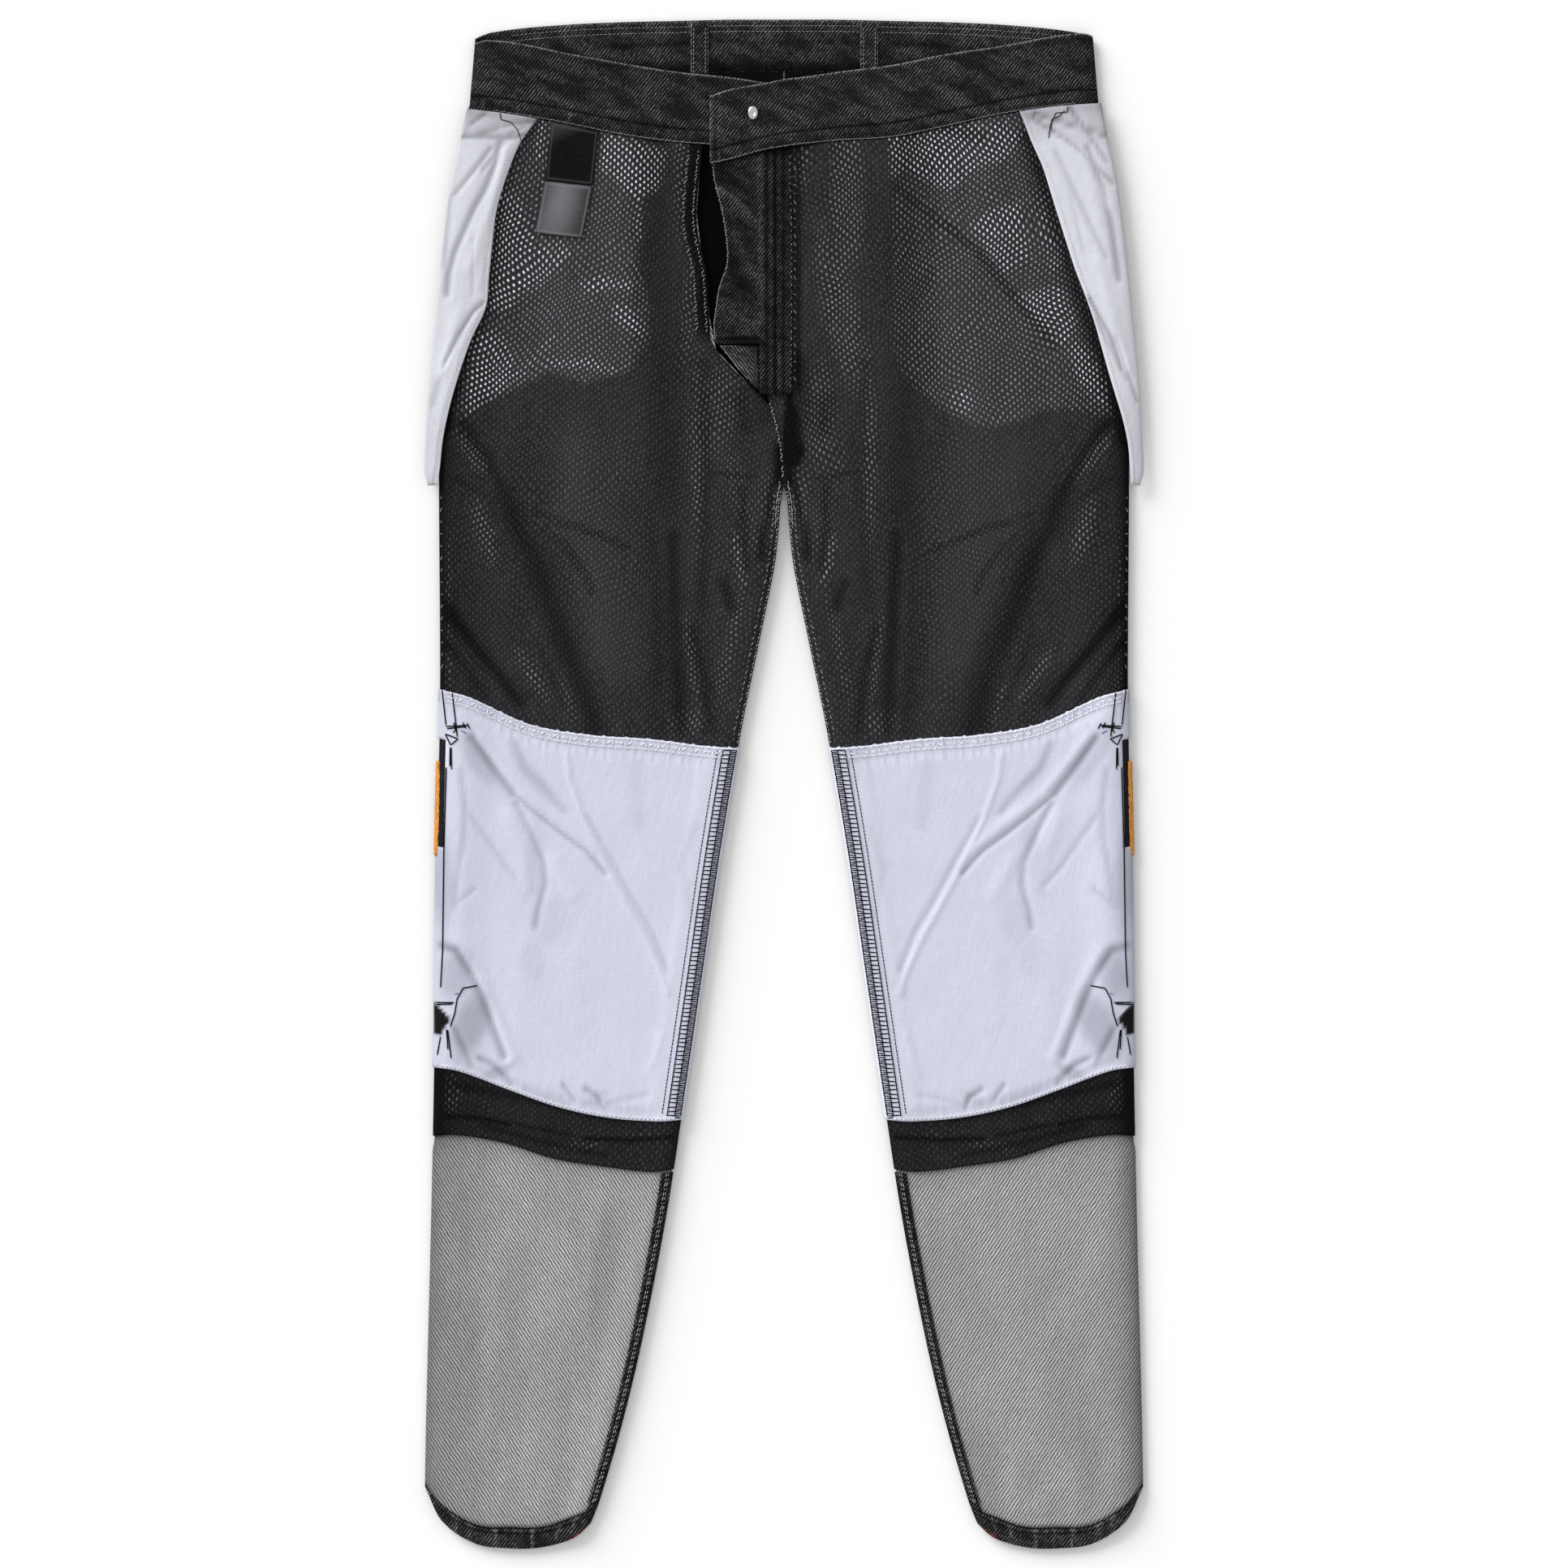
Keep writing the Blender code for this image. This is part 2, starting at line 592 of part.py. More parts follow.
def build_belt_loops():
    """Two loops that lie on the back band in the waist opening."""
    low = BAND + GAP
    for side, centre in zip(("left", "right"), LOOP_CENTRES):
        under = []
        for y in LOOP_Y:
            under.append([(centre + offset * LOOP_WIDTH / 2, y, low) for offset in (-1, -0.6, 0.6, 1)])
        crown = (0.7, 1.0, 1.0, 0.7)
        over = [[(x, y, z + LOOP_THICK * share) for (x, y, z), share in zip(row, crown)] for row in under]
        add_wall(f"belt_loop_{side}", over, under, "black denim")


def shield_underside(x):
    start, end = SHIELD_DROP
    return mix(SHIELD_HIGH, SHIELD_LOW, ease((start - x) / (start - end)))


def build_fly():
    """The shield down the centre front and the wedge of cloth beside its narrow end."""
    wide_columns = 3
    under = []
    for i, (y, left, right) in enumerate(SHIELD_ROWS):
        xs = [mix(left, SHIELD_WAIST, c / wide_columns) for c in range(wide_columns)]
        xs += [SHIELD_WAIST, RIDGE_X, 0.0, right]
        row = []
        for x in xs:
            edge_y = smooth(BAND_TABLE, x, 3) - WAIST_GAP / 2 if i == 0 else y
            row.append((x, edge_y, shield_underside(x)))
        under.append(row)
    over = [[(x, y, z + FLY + RIDGE_HIGH * (x == RIDGE_X)) for x, y, z in row] for row in under]
    narrow_rows = range(SHIELD_STEP, len(SHIELD_ROWS) - 1)
    left_out = [(row, column) for row in narrow_rows for column in range(wide_columns)]
    add_wall("fly_shield", over, under, "black denim", left_out)

    under = []
    for y, left in CORNER_ROWS:
        xs = (left, mix(left, SHIELD_WAIST - GAP, 0.5), SHIELD_WAIST - GAP)
        under.append([(x, y, SHIELD_LOW) for x in xs])
    over = [[(x, y, z + DENIM) for x, y, z in row] for row in under]
    add_wall("fly_corner", over, under, "grey denim")


def build_button_tack():
    """The oval metal back of the waist button, on the right end of the band."""
    segments = 16
    x0, y0 = TACK_CENTRE
    base = band_point("front right", ("flat", x0), 0.5, 0.0)[2] + GAP
    data = bmesh.new()
    rings = []
    for share, height in TACK_PROFILE:
        ring = []
        for i in range(segments):
            angle = math.tau * i / segments
            x = x0 + TACK_RADII[0] * share * math.cos(angle)
            y = y0 + TACK_RADII[1] * share * math.sin(angle)
            ring.append(data.verts.new((x * MM, y * MM, (base + height) * MM)))
        rings.append(ring)
    for lower, upper in zip(rings, rings[1:]):
        for i in range(segments):
            j = (i + 1) % segments
            data.faces.new((lower[i], lower[j], upper[j], upper[i]))
    data.faces.new(rings[0][::-1])
    data.faces.new(rings[-1])
    add_object("button_tack", data, "steel")


def build_label(name, corners, material):
    """A woven label that lies on the left front lining."""
    low_left, low_right, high_left, high_right = corners
    under = []
    for row in (0.0, 0.5, 1.0):
        start = [mix(low_left[i], high_left[i], row) for i in range(2)]
        end = [mix(low_right[i], high_right[i], row) for i in range(2)]
        points = [(mix(start[0], end[0], share), mix(start[1], end[1], share)) for share in (0.0, 0.5, 1.0)]
        under.append([(x, y, LINED_HEIGHTS[0][1] + GAP) for x, y in points])
    over = [[(x, y, z + TRIM) for x, y, z in row] for row in under]
    add_wall(name, over, under, material)


def build():
    clear_scene()
    for side in ("left", "right"):
        build_leg(side)
        build_inseam_allowance(side)
        build_knee(side)
        build_pocket_bag(side)
    build_waistband()
    build_belt_loops()
    build_fly()
    build_button_tack()
    build_label("label_satin", SATIN_LABEL, "satin")
    build_label("label_care", CARE_LABEL, "care")


build()
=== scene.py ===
# Motorcycle trousers, turned inside out and laid flat with the front up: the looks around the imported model.
#
# Sizes are in millimetres and become metres where a mesh is made. +Y runs to the waist, +Z up out of the
# front, and "left" and "right" are the viewer's. Each cloth is a thin shell on its solid's form, drawn on
# rows across the leg and columns along it, so that cloths that lie on each other share one shape.

import math

import bpy
import numpy as np
from mathutils.bvhtree import BVHTree
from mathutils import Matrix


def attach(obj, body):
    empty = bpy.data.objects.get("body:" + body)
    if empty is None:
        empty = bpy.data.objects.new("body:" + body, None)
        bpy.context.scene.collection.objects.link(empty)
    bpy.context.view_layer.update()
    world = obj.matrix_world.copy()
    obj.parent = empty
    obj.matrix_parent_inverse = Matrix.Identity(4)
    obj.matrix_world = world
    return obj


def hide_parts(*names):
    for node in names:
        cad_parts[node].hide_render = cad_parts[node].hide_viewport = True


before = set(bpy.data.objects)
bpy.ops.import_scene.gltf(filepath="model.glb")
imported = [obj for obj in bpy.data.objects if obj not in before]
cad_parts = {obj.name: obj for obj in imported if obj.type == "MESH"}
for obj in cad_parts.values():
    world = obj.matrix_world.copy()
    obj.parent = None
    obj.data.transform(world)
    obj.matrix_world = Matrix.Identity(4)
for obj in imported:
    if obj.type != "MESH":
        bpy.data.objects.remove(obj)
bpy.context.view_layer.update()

# Leg panels
# Two fronts and two backs of black denim, whose grey wrong side shows below the lining: a twill of pale
# weft over black warp. The black right side faces inwards and shows only through the open fly, where it is
# painted in deep shade.
MM = 0.001
DENIM_THICK = 0.9
GAP = 0.3                   # between cloths that lie on each other
LINED = 1.3                 # depth of the denim under the lining's outer surface
TRIM = 1.0                  # thickness of what is sewn on a panel
HEM_GAP = 0.6
WAIST_GAP = 0.4
SIDE_ROLL = 12.0
INNER_ROLL = 8.0
SIDE_RUN = 30.0             # from the top of the roll to where the front lies on the back
INNER_RUN = 22.0
CROTCH_SPREAD = 60.0        # length below the crotch over which the inseam's roll begins

# Edge of a leg: y, distance of the edge from the centre line
SIDE_EDGE = (
    (484, 225.0), (386, 237.5), (317, 243.3), (247, 246.2), (61, 245.6),
    (-55, 248.0), (-194, 249.7), (-310, 252.0), (-449, 255.5), (-499, 256.4),
)
INSEAM = (
    (212, 0.5), (206, 1.8), (196, 2.9), (184, 3.6), (155, 6.9), (97, 18.6), (39, 30.4), (-48, 45.2),
    (-135, 58.0),
    (-222, 70.8), (-309, 84.1), (-396, 101.0), (-454, 114.8), (-512, 131.7), (-528, 138.0),
)
CENTRE_LEFT = (
    (456, 58.3), (401, 62.3), (364, 55.4), (329, 53.0), (312, 50.0),
    (279, 19.0), (270, 10.2), (259, 6.1), (218, 0.3), (212, 0.15),
)
CENTRE_RIGHT = ((456, -12.0), (279, -12.0), (270, -9.9), (259, -5.8), (218, 0.0), (212, 0.15))
# Lines across a leg: y at these fractions of the way from the side edge to the inner edge
ACROSS = (0.0, 0.1, 0.3, 0.5, 0.7, 0.9, 1.0)
BACK_WAIST = (484.0, 489.0, 499.0, 505.0, 508.0, 509.0, 509.0)
LEG_LINES = (
    ("crotch", (247.0, 243.5, 236.6, 229.6, 222.7, 215.8, 212.3)),
    ("knee top", (68.0, 62.0, 43.0, 35.4, 32.4, 27.2, 26.0)),
    ("knee bottom", (-202.0, -204.8, -218.0, -230.4, -238.0, -240.7, -239.5)),
    ("lining bottom", (-251.1, -250.4, -256.3, -267.3, -272.8, -276.7, -274.9)),
    ("hem top", (-499.1, -514.5, -529.4, -531.0, -530.4, -521.3, -516.5)),
    ("hem bottom", (-501.7, -525.5, -542.0, -545.6, -545.0, -538.0, -527.8)),
)
WAIST_LEVEL, CROTCH, KNEE_TOP, KNEE_BOTTOM, LINING_BOTTOM, HEM_TOP, HEM_BOTTOM = range(7)
STEP_START = 0.008          # part of the lower leg over which the denim drops from the lining's height
STEP_END = 0.045
# Heights of a leg: at its rolls, over its middle at each numbered line, and of its side seams
LINED_TOP = 8.0
LINED_MIDDLES = (6.4, 6.3, 6.0, 6.0, 5.8, 5.8, 5.8)
LINED_SEAM = 4.0
BARE_TOPS = (6.5, 6.4)      # of the denim below the lining, at its upper and lower end
BARE_MIDDLES = (4.4, 4.0)
BARE_SEAM = 3.2
HEM_HEIGHTS = (6.9, 5.4)    # at its rolls and over its middle

# Waistband: distance from the centre line, lower and upper edge of each front end, upper edge of the back
BAND_TABLE = (
    (225, 481.5, 531.5, 485.6, 536.8, 534.0),
    (193, 477.5, 529.1, 483.3, 533.6, 539.0),
    (155, 470.7, 521.5, 477.6, 526.6, 542.3),
    (116, 462.8, 514.4, 468.9, 520.8, 544.1),
    (77, 457.5, 508.2, 461.1, 513.0, 545.0),
    (38, 455.5, 504.2, 458.5, 508.1, 545.9),
    (14, 457.0, 500.5, 456.0, 504.4, 545.9),
    (0, 457.0, 498.5, 454.0, 502.5, 545.9),
    (-16, 457.0, 497.0, 451.2, 499.3, 545.9),
    (-38, 457.0, 496.0, 445.0, 495.5, 545.9),
    (-52, 457.0, 496.0, 442.0, 491.0, 545.9),
)
BAND_COLUMN = {"front left": (1, 2), "front right": (3, 4)}
BAND_EDGE = (224.5, 220.5)

# Soft ridges and troughs of a leg's front: start x, y, end x, y, half width, height
LEG_FOLDS = (
    (150, 330, 126, 90, 22, 1.2), (92, 320, 76, 100, 18, 0.8), (222, 95, 158, 185, 15, 0.7),
    (230, 252, 208, 221, 5, -0.7), (208, 221, 192, 191, 7, -0.8), (192, 191, 175, 147, 9, -0.9),
    (175, 147, 155, 107, 10, -1.0), (155, 107, 138, 66, 9, -0.9), (138, 66, 128, 40, 8, -0.7),
    (189, 83, 168, 50, 6, 0.8), (162, 80, 148, 46, 4, -0.5), (232, 130, 219, 93, 5, -0.8),
    (219, 93, 202, 73, 5, -0.9), (202, 73, 185, 57, 5, -0.7), (218, 200, 206, 120, 8, 0.6),
    (91, 280, 91, 181, 9, -0.7), (91, 181, 84, 147, 8, -0.8), (84, 147, 81, 97, 7, -1.0),
    (81, 97, 68, 46, 7, -0.9), (61, 282, 62, 114, 5, 0.6), (51, 262, 54, 198, 6, -0.5),
    (54, 198, 54, 130, 6, -0.5), (54, 130, 44, 46, 6, -0.5), (34, 171, 27, 137, 3, 0.6),
    (41, 154, 37, 124, 4, -0.6), (92, 470, 90, 300, 8, -0.6), (78, 460, 74, 300, 6, 0.5),
    (189, 194, 158, 184, 2, -0.25), (158, 184, 131, 173, 2, -0.2), (185, 193, 158, 178, 2, -0.25),
    (158, 178, 145, 157, 2, -0.2), (145, 157, 138, 137, 2, -0.2), (51, 221, 20, 221, 2, -0.3),
    (160, -330, 172, -470, 24, 0.6), (236, -300, 226, -420, 7, 0.5), (128, -300, 146, -390, 9, 0.4),
    (205, -400, 214, -500, 8, 0.4), (241, -268, 230, -300, 5, 0.5), (190, -300, 182, -380, 10, -0.35),
    (236, -430, 243, -492, 6, 0.6), (150, -440, 158, -520, 7, -0.4), (178, -520, 200, -500, 6, 0.3),
    (236, -226, 200, -236, 4, 0.5), (200, -236, 150, -250, 4, 0.5), (150, -250, 100, -255, 4, 0.4),
)


def mix(a, b, share):
    return a + (b - a) * share


def ease(share):
    """0 to 1 with soft ends."""
    share = np.clip(share, 0.0, 1.0)
    return share * share * (3.0 - 2.0 * share)


def smooth(table, key, column=1):
    """A smooth curve through a table's column, the keys in the first column rising or falling."""
    rows = np.array(sorted(table), dtype=float)
    keys = rows[:, 0]
    values = rows[:, column]
    key = np.clip(key, keys[0], keys[-1])
    at = np.clip(np.searchsorted(keys, key, side="right") - 1, 0, len(keys) - 2)
    low = np.maximum(np.arange(len(keys)) - 1, 0)
    high = np.minimum(np.arange(len(keys)) + 1, len(keys) - 1)
    slopes = (values[high] - values[low]) / (keys[high] - keys[low])
    span = keys[at + 1] - keys[at]
    t = (key - keys[at]) / span
    return (
        values[at] * (1 + 2 * t) * (1 - t) ** 2
        + values[at + 1] * t * t * (3 - 2 * t)
        + slopes[at] * span * t * (1 - t) ** 2
        - slopes[at + 1] * span * t * t * (1 - t)
    )


def ridges(table, x, y):
    """Height that soft ridges and troughs add at places; where several meet, the strongest counts."""
    rise = np.zeros(np.broadcast(x, y).shape)
    fall = np.zeros(rise.shape)
    for x0, y0, x1, y1, half_width, height in table:
        length = math.hypot(x1 - x0, y1 - y0)
        along = ((x - x0) * (x1 - x0) + (y - y0) * (y1 - y0)) / length
        across = ((x - x0) * (y1 - y0) - (y - y0) * (x1 - x0)) / length
        past = np.maximum(0.0, np.maximum(-along, along - length))
        fold = height * np.exp(-(across ** 2 + past ** 2) / half_width ** 2)
        rise = np.maximum(rise, fold)
        fall = np.minimum(fall, fold)
    return rise + fall


def spots(table, x, y):
    """The strongest of several soft-edged ellipses at each place."""
    total = np.zeros(np.broadcast(x, y).shape)
    for centre_x, centre_y, half_x, half_y, turn, strength in table:
        cosine, sine = math.cos(math.radians(turn)), math.sin(math.radians(turn))
        dx, dy = x - centre_x, y - centre_y
        across = (dx * cosine + dy * sine) / half_x
        along = (dy * cosine - dx * sine) / half_y
        total = np.maximum(total, strength * ease(1.5 - np.hypot(across, along)))
    return total


def bent(*creases):
    """Straight strokes of bent creases, each given as half width, height and its points."""
    return [(*start, *end, half_width, height)
            for half_width, height, *points in creases for start, end in zip(points, points[1:])]


def waist_line(panel, across):
    """y of a panel's upper edge, where it meets the waistband."""
    if panel["face"] == "back":
        return smooth(tuple(zip(ACROSS, BACK_WAIST)), across)
    edge = CENTRE_LEFT if panel["side"] == "left" else CENTRE_RIGHT
    low_column = BAND_COLUMN[f"front {panel['side']}"][0]
    return smooth(BAND_TABLE, mix(BAND_EDGE[0], edge[0][1], across), low_column)


def leg_line(panel, levels, across):
    """y of places between a leg's numbered lines, at fractions of the way across."""
    across = np.broadcast_to(across, levels.shape)
    below_waist = [smooth(tuple(zip(ACROSS, row)), across) for name, row in LEG_LINES]
    lines = np.array([waist_line(panel, across)] + below_waist)
    upper = np.minimum(levels.astype(int), HEM_BOTTOM - 1)
    place = np.arange(len(levels))
    return mix(lines[upper, place], lines[upper + 1, place], levels - upper)


def inner_edge(panel, y):
    """Distance of a panel's inner edge from the centre line."""
    below = smooth(INSEAM, y)
    if panel["face"] == "back":
        return below
    above = smooth(CENTRE_LEFT if panel["side"] == "left" else CENTRE_RIGHT, y)
    return np.where(y < INSEAM[0][0], below, above)


def tube_heights(panel, levels):
    """Top of the roll, top of the middle, seam height and underside of a panel's tube."""
    whole = np.ones_like(levels)
    if panel["cloth"] == "hem":
        return HEM_HEIGHTS[0] * whole, HEM_HEIGHTS[1] * whole, BARE_SEAM * whole, 0.0 * whole
    middle = np.interp(levels, range(7), LINED_MIDDLES)
    if panel["cloth"] == "lining":
        return LINED_TOP * whole, middle, LINED_SEAM * whole, 0.0 * whole
    share = ease((levels - LINING_BOTTOM - STEP_START) / (STEP_END - STEP_START))
    bare = levels - LINING_BOTTOM
    return (
        mix(LINED_TOP - LINED, mix(*BARE_TOPS, bare), share),
        mix(middle - LINED, mix(*BARE_MIDDLES, bare), share),
        mix(LINED_SEAM, BARE_SEAM, share),
        mix(LINED, 0.0, share),
    )


def edge_insets(panel, levels):
    """How far a panel's cloth stands in from the outline at the side and at the inseam."""
    if panel["cloth"] != "denim":
        return 0.0 * levels, 0.0 * levels
    share = ease((levels - LINING_BOTTOM - STEP_START) / (STEP_END - STEP_START))
    return mix(LINED, 0.0, share), mix(LINED, TRIM + GAP, share)


def panel_columns(middle_count, roll_count=9, run_count=6):
    """Columns across a panel: the side's roll, its run, the middle, the inner run and roll."""
    angles = np.linspace(0, 90, roll_count)
    columns = [("side roll", angle) for angle in angles]
    columns += [("side run", SIDE_RUN * i / run_count) for i in range(1, run_count + 1)]
    columns += [("middle", (i + 1) / (middle_count + 1)) for i in range(middle_count)]
    columns += [("inner run", INNER_RUN * i / run_count) for i in range(run_count, 0, -1)]
    columns += [("inner roll", angle) for angle in angles[::-1]]
    return columns


def column_place(column, width):
    """Distance of a column from the side edge."""
    kind, value = column
    if kind == "side roll":
        return SIDE_ROLL * (1 - math.cos(math.radians(value))) + 0.0 * width
    if kind == "side run":
        return SIDE_ROLL + value + 0.0 * width
    if kind == "inner run":
        return width - INNER_ROLL - value
    if kind == "inner roll":
        return width - INNER_ROLL * (1 - math.cos(math.radians(value)))
    return mix(SIDE_ROLL + SIDE_RUN, width - INNER_ROLL - INNER_RUN, value)


def panel_column(panel, levels, column, depth):
    """Points down a column, at a depth under a panel's outer surface; x is a distance from the centre."""
    kind, value = column
    side_y = leg_line(panel, levels, 0.0)
    inner_y = leg_line(panel, levels, 1.0)
    side_x = smooth(SIDE_EDGE, side_y)
    inner_x = inner_edge(panel, inner_y)
    width = side_x - inner_x
    from_side = column_place(column, width)
    from_inner = width - from_side
    x = side_x - from_side
    y = leg_line(panel, levels, from_side / width)
    top, middle, seam, underside = tube_heights(panel, levels)
    rolled = ease((INSEAM[0][0] - inner_y) / CROTCH_SPREAD)
    side_share = 1 - ease((from_side - SIDE_ROLL) / SIDE_RUN)
    inner_share = rolled * (1 - ease((from_inner - INNER_ROLL) / INNER_RUN))
    if panel["face"] == "front":
        crown = middle + (top - middle) * np.maximum(side_share, inner_share)
        flat = crown + ridges(LEG_FOLDS, x, y) - depth
        half_gap = GAP / 2
    else:
        flat = underside + depth
        half_gap = -GAP / 2
    side_inset, inner_inset = edge_insets(panel, levels)
    z = flat
    angle = math.radians(value) if kind.endswith("roll") else 0.0
    round_z = seam + half_gap + (flat - seam - half_gap) * math.sin(angle)
    if kind == "side roll":
        x = side_x - SIDE_ROLL + (SIDE_ROLL - side_inset - depth) * math.cos(angle)
        z = round_z
    if kind == "inner roll":
        round_x = inner_x + INNER_ROLL - (INNER_ROLL - inner_inset - depth) * math.cos(angle)
        x = mix(x, round_x, rolled)
        z = mix(flat, round_z, rolled)
    return np.stack([x, y, z], axis=-1)


def panel_sheet(panel, levels, columns, depth, ends=(0.0, 0.0)):
    """Points of a panel in rows and columns; ends shifts its first and last row along y."""
    levels = np.asarray(levels, dtype=float)
    sheet = np.stack([panel_column(panel, levels, column, depth) for column in columns], axis=1)
    sheet[0, :, 1] += ends[0]
    sheet[-1, :, 1] += ends[1]
    return sheet


def signed(points, side):
    """The points on their side of the centre line."""
    return points * np.array([-1.0 if side == "left" else 1.0, 1.0, 1.0])


def new_piece(name, points, faces, materials, face_materials=None):
    """A visible piece from points in millimetres, riding on the root body."""
    mesh = bpy.data.meshes.new(name)
    mesh.from_pydata((np.asarray(points) * MM).tolist(), [], faces)
    for material in materials:
        mesh.materials.append(material)
    mesh.shade_smooth()
    if face_materials is not None:
        mesh.polygons.foreach_set("material_index", face_materials)
    piece = bpy.data.objects.new(name, mesh)
    bpy.context.scene.collection.objects.link(piece)
    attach(piece, "root")
    return piece


tops = {}                   # each cloth's surface, which threads are laid on


def add_shell(node, outer, inner, materials, marks=None, keep=None, up=True):
    """A closed thin cloth between two sheets of points, in place of a node.

    A second material is its inner face. Marks are values for each point of the sheet, which the materials
    read by name."""
    rows, columns = outer.shape[:2]
    keep = np.ones((rows - 1, columns - 1), dtype=bool) if keep is None else keep
    count = rows * columns
    grid = np.arange(count).reshape(rows, columns)
    corners = np.stack([grid[:-1, :-1], grid[:-1, 1:], grid[1:, 1:], grid[1:, :-1]], axis=-1)
    faces = [corners[keep], corners[keep][:, ::-1] + count]
    padded = np.zeros((rows + 1, columns + 1), dtype=bool)
    padded[1:-1, 1:-1] = keep
    neighbours = (padded[:-2, 1:-1], padded[1:-1, 2:], padded[2:, 1:-1], padded[1:-1, :-2])
    for i, neighbour in enumerate(neighbours):
        ring = corners[keep & ~neighbour]
        start = ring[:, i]
        end = ring[:, (i + 1) % 4]
        faces.append(np.stack([end, start, start + count, end + count], axis=-1))
    inside = np.zeros(sum(len(part) for part in faces), dtype=np.int32)
    inside[len(faces[0]):len(faces[0]) * 2] = len(materials) - 1
    faces = np.concatenate(faces)
    across = outer[:-1, 1:] - outer[:-1, :-1]
    down = outer[1:, :-1] - outer[:-1, :-1]
    if (np.cross(across, down)[..., 2].sum() > 0) != up:
        faces = faces[:, ::-1]
    points = np.concatenate([outer.reshape(-1, 3), inner.reshape(-1, 3)])
    used = np.unique(faces)
    renumber = np.zeros(len(points), dtype=int)
    renumber[used] = np.arange(len(used))
    piece = new_piece(f"{node}_cloth", points[used], renumber[faces].tolist(), materials, inside)
    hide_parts(node)
    for mark, values in (marks or {}).items():
        values = np.broadcast_to(values, (rows, columns)).reshape(-1)
        layer = piece.data.attributes.new(mark, "FLOAT", "POINT")
        layer.data.foreach_set("value", np.concatenate([values, values])[used].astype(np.float32))
    tops[piece.name] = BVHTree.FromPolygons([v.co for v in piece.data.vertices],
                                            [tuple(p.vertices) for p in piece.data.polygons])
    return piece


def linear(hex_colour):
    """An sRGB hex colour as linear red, green, blue and alpha."""
    parts = [int(hex_colour[i:i + 2], 16) / 255 for i in (1, 3, 5)]
    return (*[c / 12.92 if c <= 0.04045 else ((c + 0.055) / 1.055) ** 2.4 for c in parts], 1.0)


def add_node(tree, kind, inputs=None, **settings):
    """Adds a node with its settings; an input takes a value or another node's output."""
    made = tree.nodes.new(kind)
    for key, value in settings.items():
        setattr(made, key, value)
    for socket, value in (inputs or {}).items():
        if isinstance(value, bpy.types.NodeSocket):
            tree.links.new(value, made.inputs[socket])
        else:
            made.inputs[socket].default_value = value
    return made


def new_material(name, roughness, gloss=0.12, sheen=0.0):
    """A Principled material and the places in millimetres that its patterns are drawn on."""
    material = bpy.data.materials.new(name)
    material.use_nodes = True
    tree = material.node_tree
    shader = tree.nodes["Principled BSDF"]
    shader.inputs["Roughness"].default_value = roughness
    shader.inputs["Specular IOR Level"].default_value = gloss
    shader.inputs["Sheen Weight"].default_value = sheen
    place = add_node(tree, "ShaderNodeTexCoord")
    in_mm = add_node(tree, "ShaderNodeVectorMath", {0: place.outputs["Object"], 1: (1000.0, 1000.0, 1000.0)},
                     operation="MULTIPLY")
    return material, tree, shader, in_mm.outputs[0]


def turned(tree, place, turn, size=(1.0, 1.0, 1.0)):
    """Places turned by degrees and then divided by a size along and across that direction."""
    made = add_node(tree, "ShaderNodeMapping", {"Vector": place, "Rotation": (0.0, 0.0, math.radians(turn)),
                                                "Scale": size}, vector_type="TEXTURE")
    return made.outputs[0]


def noise(tree, place, turn, length, width, detail=2.0):
    """Noise drawn out to streaks of a length and width in millimetres, turned by degrees."""
    made = add_node(tree, "ShaderNodeTexNoise", {
        "Vector": turned(tree, place, turn, (length, width, width)), "Scale": 1.0, "Detail": detail,
        "Roughness": 0.55,
    })
    return made.outputs["Fac"]


def twill_lines(tree, place, turn, pitch, waver):
    """Parallel diagonal lines from 0 to 1, a pitch apart in millimetres, that run in the direction turn."""
    wave_unit = math.pi / 10
    made = add_node(tree, "ShaderNodeTexWave", {
        "Vector": turned(tree, place, turn + 90), "Scale": wave_unit / pitch, "Distortion": waver,
        "Detail": 2.0, "Detail Scale": 1.6, "Detail Roughness": 0.6,
    }, wave_type="BANDS", bands_direction="X")
    return made.outputs["Fac"]


def spread(tree, value, low, high, to_low=0.0, to_high=1.0):
    """A value's stretch from low to high spread over a new range."""
    made = add_node(tree, "ShaderNodeMapRange", {"Value": value, "From Min": low, "From Max": high,
                                                 "To Min": to_low, "To Max": to_high})
    return made.outputs[0]


def math_node(tree, operation, first, second):
    made = add_node(tree, "ShaderNodeMath", {0: first, 1: second}, operation=operation)
    return made.outputs[0]


def blend_colour(tree, share, first, second):
    """A colour mix; each colour is a value or another node's output."""
    made = add_node(tree, "ShaderNodeMix", {"Factor": share, 6: first, 7: second}, data_type="RGBA")
    return made.outputs[2]


def mark_value(tree, name):
    return add_node(tree, "ShaderNodeAttribute", attribute_name=name).outputs["Fac"]


def add_bump(tree, shader, height, depth):
    """Fine relief on the shader; depth is the relief's real depth in millimetres."""
    bump = add_node(tree, "ShaderNodeBump", {"Height": height, "Distance": depth * MM})
    tree.links.new(bump.outputs[0], shader.inputs["Normal"])


TWILL_PITCH = 2.1           # drawn coarser: the real 1.35 mm is too fine for the frame
RIGHT_TWILL_PITCH = 2.0
WEFT_TURNS = {"left": -57, "right": 57}
